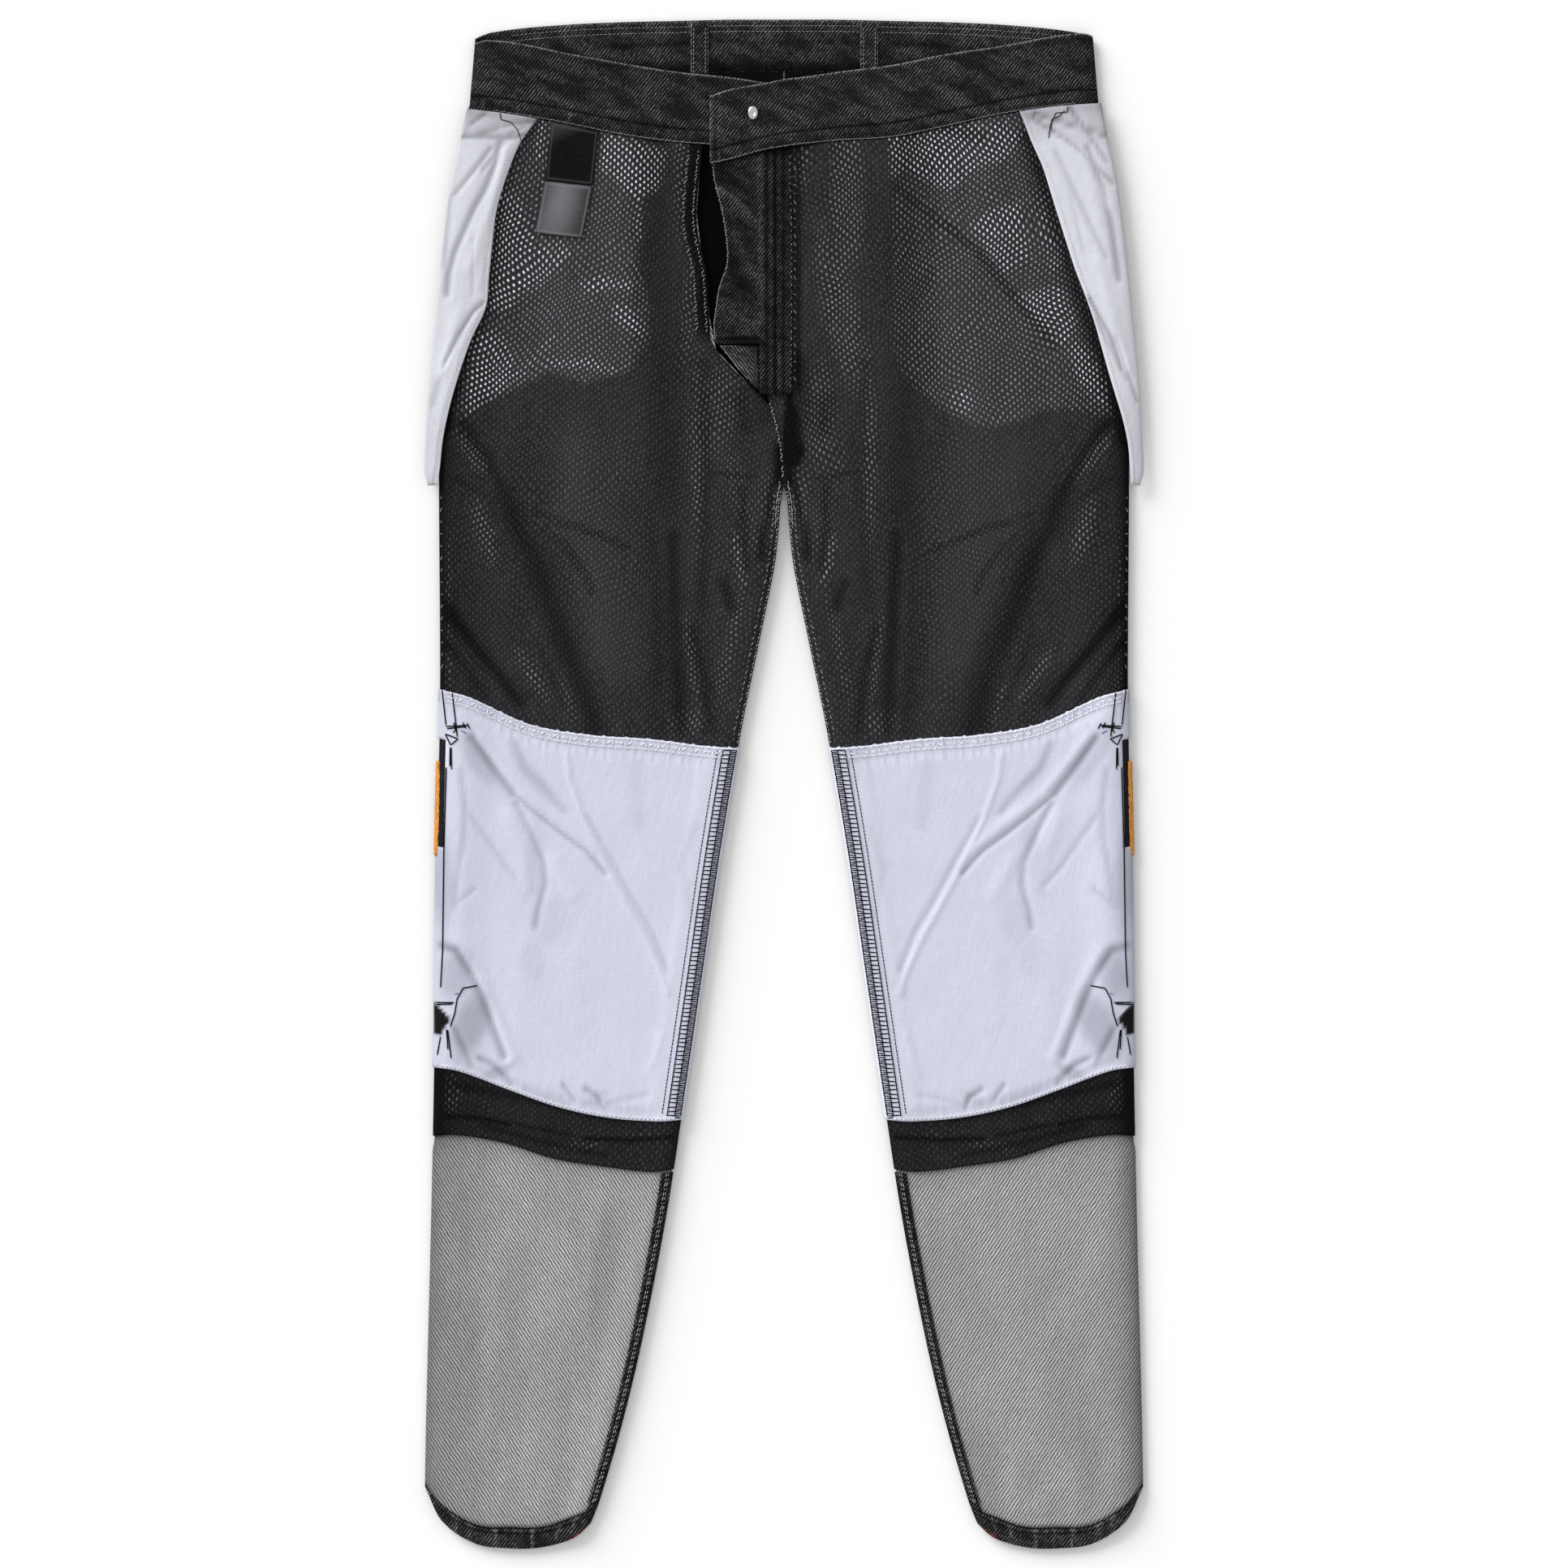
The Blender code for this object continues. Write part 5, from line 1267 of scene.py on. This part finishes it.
band_rows = np.array([
    0, 0.6, 1.4, 2.6, 4, 5.6, 7.2, 8.6, 9.4, 10, 10.6, 11.4, 13, 16, 20, 24, 28, 32, 36, 40, 43, 45.5, 47.4,
    48.6, 49.4, 50,
]) / BAND_WIDTH
up = (band_rows * BAND_WIDTH)[:, None]
rolls = [("roll", angle) for angle in np.linspace(0, 90, 9)]
for end, last in (("front left", LEFT_END), ("front right", RIGHT_END)):
    side = end.split()[1]
    places = rolls + [("flat", x) for x in np.arange(207.0, last + 0.6, -1.5)] + [("flat", last)]
    outer = band_sheet(end, places, band_rows, 0.0)
    inner = band_sheet(end, places, band_rows, BAND_THICK)
    along = outer[..., 0]
    puckers = uneven_waves(along + 0.3 * up, (5.1, 7.7, 12.3), 1.5)
    in_strip = ease(up / 2) * ease((SEAM_UP - 1 - up) / 2)
    above_seam = bell(up - 14, 4.0)
    groove = -0.5 * bell(up - SEAM_UP, 0.8)
    edges = -0.7 * np.exp(-up / 0.8) - 0.7 * np.exp(-(BAND_WIDTH - up) / 0.8)
    to_end = np.maximum(0.0, along - last) if end == "front right" else np.full(along.shape, 99.0)
    ends_relief = -0.7 * np.exp(-to_end / 0.8) - 0.35 * bell(to_end - 5.5, 0.9)
    relief = groove + edges + ends_relief + puckers * (0.4 * in_strip + 0.2 * above_seam)
    relief = relief + ridges(BAND_WAVES, along, outer[..., 1]) * ease((up - 11) / 8)
    outer[..., 2] += relief
    inner[..., 2] += np.minimum(relief, 0.0) * 0.5
    wear_and_highlight = puckers * (0.35 * in_strip + 0.2 * above_seam) + 0.85 * bell(BAND_WIDTH - up, 1.1)
    wear_and_highlight = wear_and_highlight + 0.4 * bell(up - 0.8, 0.9) * uneven_waves(along, (3.3, 9.1), 1.6)
    wear_and_highlight = wear_and_highlight + 0.7 * bell(to_end - 0.8, 1.2) + 0.3 * bell(to_end - 6.5, 1.0)
    # Painted shade in the seam's groove, along the lower strip, toward the side and under the top edge
    shade = 0.85 * bell(up - SEAM_UP, 0.8) + 0.35 * bell(up - 3, 1.4)
    shade = shade + 0.5 * np.exp(-np.maximum(0, BAND_EDGE[0] - along) / 5.0) + 0.4 * bell(up - 46.5, 1.5)
    marks = {"wear_and_highlight": np.clip(wear_and_highlight, 0, 1), "shade": np.clip(shade, 0, 0.95)}
    piece = add_shell(f"waistband_front_{side}", signed(outer, side), signed(inner, side), (black_twill,),
                      marks)
    low_column = BAND_COLUMN[end][0]
    xs = np.arange(last + 1.0, 212, 3.0)
    lower_edge = [(x, float(smooth(BAND_TABLE, x, low_column)) + 1.0) for x in xs]
    loops = stitches(lower_edge, [piece.name], side, 1.9, 0.75, 0.1, waver=0.35)
    chain = add_threads(f"band_chain_{side}", loops, 0.24, grey_thread)

half = rolls + [("flat", x) for x in np.arange(206.0, 1.0, -3.0)]
outer_half = band_sheet("back", half, band_rows, 0.0)
inner_half = band_sheet("back", half, band_rows, BAND_SOLID - 0.2)
outer = np.concatenate([signed(outer_half, "left"), outer_half[:, ::-1]], axis=1)
inner = np.concatenate([signed(inner_half, "left"), inner_half[:, ::-1]], axis=1)
along = outer[..., 0]
from_top = smooth(BAND_TABLE, np.abs(along), 5) - outer[..., 1]
puckers = uneven_waves(along, (6.3, 9.7, 15.1), 1.5)
wear_and_highlight = 0.35 * puckers * bell(from_top - 4, 3.0) + 0.5 * bell(from_top - 1, 0.9)
wear_and_highlight = wear_and_highlight + 0.25 * puckers * bell(from_top - 12, 4.0)
# Painted shade below the seam, deep in the waist opening, and toward the sides
shade = 0.7 * bell(from_top - 17, 1.0) + 0.9 * ease((from_top - 24) / 12)
shade = shade + 0.5 * ease((np.abs(along) - 165) / 50)
inner[..., 2] += -0.35 * bell(from_top - 17, 1.0) + 0.25 * puckers * bell(from_top - 12, 4)
piece = add_shell("waistband_back", outer, inner, (black_twill,),
                  {"wear_and_highlight": np.clip(wear_and_highlight, 0, 1), "shade": np.clip(shade, 0, 0.95)}, up=False)
topstitch = []
for side in ("left", "right"):
    for drop in (4.4, 8.4):
        route = [(x, float(smooth(BAND_TABLE, x, 5)) - drop) for x in np.arange(0.5, 196, 5.0)]
        topstitch += stitches(route, [piece.name], side, 3.0, 0.68, 0.05, default=2.0)
add_threads("back_band_topstitch", topstitch, 0.2, grey_thread)

# Belt loops
# Two loops of folded black denim on the back band, seen through the waist opening, with worn pale edges
# and a row of stitches down each side. Painted shade darkens them beside the stitches and toward their
# lower ends, under the front band.
LOOP_WIDTH = 12.6
LOOP_CENTRES = (-60.3, 60.9)
LOOP_Y = (494.0, 543.2)
LOOP_THICK = 1.2
LOOP_STITCH = 4.2           # from the loop's middle to its stitches
for side, centre in zip(("left", "right"), LOOP_CENTRES):
    y = np.linspace(*LOOP_Y, 40)[:, None]
    shares = np.linspace(-1, 1, 15)[None, :]
    ripple = uneven_waves(y, (4.1, 6.7), 1.3)
    crown = 0.35 * (1 - shares ** 4) - 0.25 * bell(np.abs(shares) - 0.66, 0.1) + 0.12 * ripple
    x = centre + shares * LOOP_WIDTH / 2 + 0.0 * y
    low = BAND_SOLID + GAP
    over = np.stack([x, y + 0.0 * x, low + LOOP_THICK - 0.35 + crown], axis=-1)
    beneath = np.stack([x, y + 0.0 * x, low + 0.0 * x], axis=-1)
    wear_and_highlight = 0.9 * bell(np.abs(shares) - 0.95, 0.08) + 0.3 * ripple
    # Painted shade beside the stitches and toward the lower ends
    shade = 0.6 * bell(np.abs(shares) - 0.72, 0.1) + 0.8 * ease((515 - y) / 12)
    piece = add_shell(f"belt_loop_{side}", over, beneath, (black_twill,),
                      {"wear_and_highlight": np.clip(wear_and_highlight, 0, 1), "shade": np.clip(shade, 0, 0.95)})
    sewn = []
    for offset in (-LOOP_STITCH, LOOP_STITCH):
        sewn += stitches([(abs(centre + offset), v) for v in (540, 500)], [piece.name], side, 3.0, 0.7, 0.05)
    add_threads(f"belt_loop_stitches_{side}", sewn, 0.22, grey_thread)

# Fly
# A facing of black denim down the centre front, overlocked with a pale chain along its free left edge and
# folded along its right edge, and the wedge of grey reverse beside its narrow lower end. The shield's crease
# tops are painted lighter, its troughs and grooves darker with painted shade, and it lies in painted shade
# under the band; the wedge is painted darker in the shield's shadow.
FLY_SOLID = 1.6
# Outline of the shield: y, x of its left and right edge
SHIELD_ROWS = (
    (452, -52.0, 4.6), (432, -50.2, 4.6), (411, -45.0, 5.4), (391, -41.7, 5.7), (372, -40.9, 5.9),
    (354, -46.6, 5.9), (339, -49.0, 5.8), (326, -50.4, 5.7), (313.8, -49.2, 5.6), (278, -49.2, 5.0),
)
SHIELD_NARROW_Y = 313.8     # below this only the part to the right of its waist goes on
SHIELD_WAIST = -17.6
SHIELD_HIGH = 6.8           # underside over the right leg's lining
SHIELD_LOW = 4.5            # underside over the fly's gap
SHIELD_DROP = (-14.0, -46.0)    # x between which the underside falls from one to the other
RIDGES = (-9.0, -3.5)       # x of the folds down the right edge, paler on top from wear and painted highlight
# x of the grooves between and beside them, painted in shade
GROOVES = (-12.4, -6.3, -0.4)
# Left edge of the wedge: y, x
CORNER_ROWS = ((282.0, -20.0), (290.0, -27.0), (300.0, -36.0), (313.0, -46.5))
# Creases of the shield: half width, height, then the places that each runs through
FLY_CREASES = bent(
    (4, 0.7, (-46, 424), (-32, 414), (-20, 400)), (4, -0.8, (-46, 440), (-34, 428), (-20, 418)),
    (4, -0.6, (-42, 404), (-30, 396), (-22, 382)), (4, 0.5, (-36, 392), (-28, 378), (-22, 362)),
    (5, -0.6, (-38, 380), (-33, 362), (-28, 350)), (4, 0.6, (-44, 340), (-30, 332), (-18, 328)),
    (4, -0.5, (-46, 352), (-32, 346), (-20, 344)), (4, 0.6, (-17, 446), (-16, 330)),
    (1.4, 0.3, (-9, 450), (-9, 280)), (1.4, 0.3, (-3.5, 450), (-3.5, 280)), (1.4, -0.4, (-6.3, 450),
    (-6.3, 280)),
    (2, 0.4, (-24, 322), (-46, 318)),
)
shield_ys = np.linspace(SHIELD_ROWS[0][0], SHIELD_ROWS[-1][0], 88)
left_x = smooth(SHIELD_ROWS, shield_ys, 1)[:, None]
right_x = smooth(SHIELD_ROWS, shield_ys, 2)[:, None]
narrow = np.linspace(0, 1, 21)[None, :]
wide = narrow[:, :-1]
x = np.concatenate([mix(left_x, SHIELD_WAIST, wide), mix(SHIELD_WAIST, right_x, narrow)], axis=1)
fall = shield_ys[0] - shield_ys[:, None]
y = shield_ys[:, None] + (smooth(BAND_TABLE, x, 3) - WAIST_GAP / 2 - shield_ys[0]) * ease(1 - fall / 12)
under = mix(SHIELD_HIGH, SHIELD_LOW, ease((SHIELD_DROP[0] - x) / (SHIELD_DROP[0] - SHIELD_DROP[1])))
shield_keep = np.ones((x.shape[0] - 1, x.shape[1] - 1), dtype=bool)
shield_keep[shield_ys[1:] < SHIELD_NARROW_Y, :wide.size] = False
to_left = np.maximum(0, np.where(y > SHIELD_NARROW_Y, x - left_x, x - SHIELD_WAIST))
to_right = right_x - x
creases = ridges(FLY_CREASES, x, y)
relief = creases * ease(to_left / 4) - 0.7 * np.exp(-to_left / 0.8) - 0.5 * np.exp(-to_right / 0.8)
relief = relief + 0.2 * uneven_waves(y, (3.4, 5.3), 1.4) * bell(to_left - 1.5, 1.2)
over = np.stack([x, y, under + FLY_SOLID + np.maximum(relief, -0.9)], axis=-1)
beneath = np.stack([x, y, under], axis=-1)
# Painted highlight on the creases' tops and painted shade in their troughs, in the grooves and under the band
wear_and_highlight = 0.6 * bell(to_left - 0.8, 1.0) * uneven_waves(y, (2.3, 7.1), 1.8)
wear_and_highlight = wear_and_highlight + 0.5 * bell(to_right - 0.5, 0.8) + 0.7 * np.maximum(0, creases)
for ridge_x in RIDGES:
    wear_and_highlight = wear_and_highlight + 0.4 * bell(x - ridge_x, 0.9) * uneven_waves(y + 9 * ridge_x, (6.1, 17.0, 41.0), 1.5)
shade = 0.36 + 0.6 * ease((y - 444) / 10) + 0.5 * np.maximum(0, -creases)
for groove_x in GROOVES:
    shade = shade + 0.5 * bell(x - groove_x, 1.3)
shade = shade + 0.7 * bell(y - 318, 1.2) * (x < SHIELD_WAIST)
piece = add_shell("fly_shield", over, beneath, (black_twill,),
                  {"wear_and_highlight": np.clip(wear_and_highlight, 0, 1), "shade": np.clip(shade, 0, 0.95)}, shield_keep)
names = [piece.name]
left_route = [(-x, y) for x, y in edge_route(SHIELD_ROWS, 0.5, 446, 316, 60)]
right_route = edge_route(SHIELD_ROWS, -0.4, 448, 282, 60, column=2)
overlock = stitches(left_route, names, "left", 1.9, 0.7, 0.1, default=5.0, waver=0.6)
edge_loops = stitches(right_route, names, "right", 2.4, 0.5, 0.1, default=7.0, waver=0.5)
seams = stitches([(3.6, 446), (3.6, 322)], names, "left", 3.0, 0.72, 0.05)
seams += stitches([(47, 317), (20, 317)], names, "left", 2.4, 0.7, 0.1)
add_threads("fly_overlock", overlock, 0.3, grey_thread)
add_threads("fly_edge_loops", edge_loops[::2], 0.26, grey_thread)
add_threads("fly_seams", seams, 0.22, black_thread)

wedge_twill = black_denim("wedge_denim", -52, "#1a1a1b", "#9a9a9c")
y = np.linspace(CORNER_ROWS[-1][0], CORNER_ROWS[0][0], 20)[:, None]
shares = np.linspace(0, 1, 14)[None, :]
x = mix(np.interp(y, *zip(*CORNER_ROWS)), SHIELD_WAIST - GAP, shares)
over = np.stack([x, y + 0.0 * x, SHIELD_LOW + 1.2 + 0.25 * np.sin(shares * math.pi) + 0.0 * x], axis=-1)
beneath = np.stack([x, y + 0.0 * x, SHIELD_LOW + 0.0 * x], axis=-1)
# Painted shade beside the shield
marks = {"wear_and_highlight": 0.8 * bell(shares - 0.04, 0.05), "shade": 0.5 * np.exp(-(1 - shares) / 0.12)}
piece = add_shell("fly_corner", over, beneath, (wedge_twill,), marks)

# Overlock of the lining's seams
# Paler thread whose loops stand out as specks on the black mesh, thick about the fly and the crotch and
# sparse down to the knee.
BELOW_FLY = ((10.2, 272), (6.1, 258.7), (2.4, 240), (0.6, 218))
body_names = ["lining_front_left_cloth", "lining_front_right_cloth"]
beads = stitches(BELOW_FLY, body_names, "left", 2.6, 0.6, 0.1, waver=0.7)
specks = []
for side in ("left", "right"):
    names = [f"lining_front_{side}_cloth"]
    beads += stitches(edge_route(INSEAM, 1.0, 209, 28, 60), names, side, 2.7, 0.5, 0.15, waver=0.6)
    specks += stitches(edge_route(INSEAM, 4.6, 206, 28, 60), names, side, 4.1, 0.35, 0.1, waver=0.8)
    beads += stitches(edge_route(INSEAM, 2.6, 216, 182, 24), names, side, 1.9, 0.6, 0.3, waver=0.7)
    specks += stitches(edge_route(SIDE_EDGE, -1.6, 205, 72, 40), names, side, 4.3, 0.35, 0.05, waver=0.7)[::2]
fly_edge = edge_route(CENTRE_LEFT, 2.4, 452, 320, 60)
specks += stitches(fly_edge, body_names, "left", 2.8, 0.5, 0.1, waver=1.0)
specks += stitches([(x + 7, y) for x, y in fly_edge], body_names, "left", 3.1, 0.4, 0.1, waver=1.2)
specks += stitches([(7.6, 446), (7.6, 284)], body_names, "right", 3.0, 0.45, 0.1, waver=1.0)[::2]
add_threads("overlock_specks", specks, 0.3, grey_thread)
add_threads("overlock_beads", beads, 0.42, grey_thread)

# Button tack
# The nickel-plated steel back of the waist button, riveted through the band's right end: an oval dome with
# a sunken middle, brightly polished with fine scratches.
TACK_CENTRE = (-22.2, 478.5)
TACK_RADII = (3.6, 4.8)
# Share of the radii, height above the band
TACK_PROFILE = (
    (1.0, 0.0), (1.02, 0.5), (0.97, 1.0), (0.86, 1.4), (0.7, 1.62), (0.56, 1.66), (0.48, 1.5), (0.4, 1.2),
    (0.2, 1.1), (0.02, 1.08),
)
TACK_SEGMENTS = 48
nickel, tree, shader, place = new_material("tack_nickel", 0.28, 0.5)
shader.inputs["Metallic"].default_value = 1.0
scratches = noise(tree, place, 20, 3.0, 0.25, 3.0)
tree.links.new(blend_colour(tree, spread(tree, scratches, 0.3, 0.7), linear("#b9b8b4"), linear("#e4e3df")),
               shader.inputs["Base Color"])
tree.links.new(spread(tree, scratches, 0.3, 0.7, 0.2, 0.4), shader.inputs["Roughness"])
base = top_at(["waistband_front_right_cloth"], *TACK_CENTRE, 0.1, 9.0)
angles = np.arange(TACK_SEGMENTS) * 2 * math.pi / TACK_SEGMENTS
rings = []
for share, height in TACK_PROFILE:
    ring_x = TACK_CENTRE[0] + TACK_RADII[0] * share * np.cos(angles)
    ring_y = TACK_CENTRE[1] + TACK_RADII[1] * share * np.sin(angles)
    rings.append(np.stack([ring_x, ring_y, base + height + 0.0 * angles], axis=-1))
faces = []
for level in range(len(rings) - 1):
    low = level * TACK_SEGMENTS
    for i in range(TACK_SEGMENTS):
        j = (i + 1) % TACK_SEGMENTS
        faces.append((low + i, low + j, low + TACK_SEGMENTS + j, low + TACK_SEGMENTS + i))
last_ring = (len(rings) - 1) * TACK_SEGMENTS
faces += [tuple(range(TACK_SEGMENTS))[::-1], tuple(last_ring + i for i in range(TACK_SEGMENTS))]
tack = new_piece("button_tack_metal", np.concatenate(rings), faces, (nickel,))
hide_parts("button_tack")

# Labels
# Two blank woven satin labels sewn in under the band: a black one over a grey one, the grey one with a
# thin pale woven border. The satin carries soft patches of painted reflection.
LABEL_THICK = 0.6
LABEL_SIZE = (36, 38)
# Node, its corners, slot, strength of its border, and its deep, pale and lit colours
LABELS = (
    ("label_satin", ((-170.4, 430.6), (-136.6, 427.0), (-165.9, 472.2), (-132.1, 465.6)), "satin_label",
     0.15, ("#08080a", "#111113", "#5c5c60")),
    ("label_care", ((-177.4, 393.5), (-144.1, 389.4), (-170.5, 430.0), (-136.8, 426.4)), "care_label",
     0.5, ("#262628", "#3a3a3d", "#7c7c80")),
)


# Satin weave: fine glossy ribs across the label, with soft patches of painted reflection where a gleam mark
# says, and a pale border from a mark.
def satin(name, deep, pale, painted_reflection):
    material, tree, shader, place = new_material(name, 0.5, 0.06)
    ribs = noise(tree, place, -7, 9.0, 0.45, 1.0)
    patches = noise(tree, place, 60, 44.0, 26.0, 0.0)
    colour = blend_colour(tree, spread(tree, ribs, 0.35, 0.65), linear(deep), linear(pale))
    reflection_strength = spread(tree, patches, 0.3, 0.75, 0.2, 0.8)
    gleam = math_node(tree, "MULTIPLY", reflection_strength, mark_value(tree, "gleam"))
    colour = blend_colour(tree, gleam, colour, linear(painted_reflection))
    colour = blend_colour(tree, mark_value(tree, "border"), colour, linear("#85858a"))
    tree.links.new(colour, shader.inputs["Base Color"])
    add_bump(tree, shader, ribs, 0.08)
    return material


for node, corners, slot, border, colours in LABELS:
    low_left, low_right, high_left, high_right = [np.array(corner) for corner in corners]
    rows = np.linspace(0, 1, 76)[:, None]
    shares = np.linspace(0, 1, 68)[None, :]
    left_edge = mix(low_left, high_left, rows[..., None])
    right_edge = mix(low_right, high_right, rows[..., None])
    flat = mix(left_edge, right_edge, shares[..., None])
    x, y = flat[..., 0], flat[..., 1]
    curl = 0.35 * np.sin(shares * 5.0 + rows * 2.0) + 0.4 * (shares - 0.5) ** 2
    z = LINED_MIDDLES[0] + GAP + TRIM + curl + ridges(LEG_FOLDS, np.abs(x), y)
    to_side = LABEL_SIZE[0] * np.minimum(shares, 1 - shares)
    to_end = LABEL_SIZE[1] * np.minimum(rows, 1 - rows)
    to_edge = np.minimum(to_side, to_end)
    # Where the painted reflection lies on each label
    gleam = ease(1 - np.abs(shares - 0.4) * 1.6)
    if node == "label_satin":
        gleam = ease(rows * 1.6 - 0.8 - shares * 0.9)
    marks = {"border": border * bell(to_edge - 1.6, 0.5), "gleam": gleam}
    over = np.stack([x, y, z], axis=-1)
    beneath = over - np.array([0.0, 0.0, LABEL_THICK])
    piece = add_shell(node, over, beneath, (satin(f"{node}_weave", *colours),), marks)

# Floor, light and camera
# A white floor just bright enough to bleach out, a low broad lamp from the upper left that throws a short
# soft shadow to the lower right, an even white surround, and a long lens straight above.
PHOTO_WIDTH = 1120.6        # what the frame takes in at the garment
CAMERA_HEIGHT = 4000.0
SENSOR = 36.0
FLOOR_REACH = 6.0           # metres
FLOOR_LEVEL = -0.0002       # metres, just under the garment
LAMP_ELEVATION = 20.0
LAMP_SPREAD = 38.0
LAMP_STRENGTH = 3.6
SURROUND_STRENGTH = 0.70

floor_mesh = bpy.data.meshes.new("floor")
square = ((-1, -1), (1, -1), (1, 1), (-1, 1))
floor_corners = [(x * FLOOR_REACH, y * FLOOR_REACH, FLOOR_LEVEL) for x, y in square]
floor_mesh.from_pydata(floor_corners, [], [(0, 1, 2, 3)])
floor_material = bpy.data.materials.new("floor_white")
floor_material.use_nodes = True
floor_shader = floor_material.node_tree.nodes["Principled BSDF"]
floor_shader.inputs["Base Color"].default_value = (0.93, 0.93, 0.93, 1.0)
floor_shader.inputs["Roughness"].default_value = 0.95
floor_mesh.materials.append(floor_material)
floor = bpy.data.objects.new("floor", floor_mesh)
bpy.context.scene.collection.objects.link(floor)

lamp_data = bpy.data.lights.new("key", "SUN")
lamp_data.energy = LAMP_STRENGTH
lamp_data.angle = math.radians(LAMP_SPREAD)
lamp = bpy.data.objects.new("key", lamp_data)
lamp.rotation_euler = (0.0, math.radians(LAMP_ELEVATION - 90), math.radians(-45))
bpy.context.scene.collection.objects.link(lamp)

world = bpy.data.worlds.new("studio")
world.use_nodes = True
world.node_tree.nodes["Background"].inputs["Color"].default_value = (1.0, 1.0, 1.0, 1.0)
world.node_tree.nodes["Background"].inputs["Strength"].default_value = SURROUND_STRENGTH
bpy.context.scene.world = world
bpy.context.scene.view_settings.view_transform = "Standard"

camera_data = bpy.data.cameras.new("camera")
camera_data.sensor_width = SENSOR
camera_data.lens = SENSOR * CAMERA_HEIGHT / PHOTO_WIDTH
camera_data.clip_end = 20.0
camera = bpy.data.objects.new("camera", camera_data)
camera.location = (0.0, 0.0, CAMERA_HEIGHT * MM)
bpy.context.scene.collection.objects.link(camera)
bpy.context.scene.camera = camera
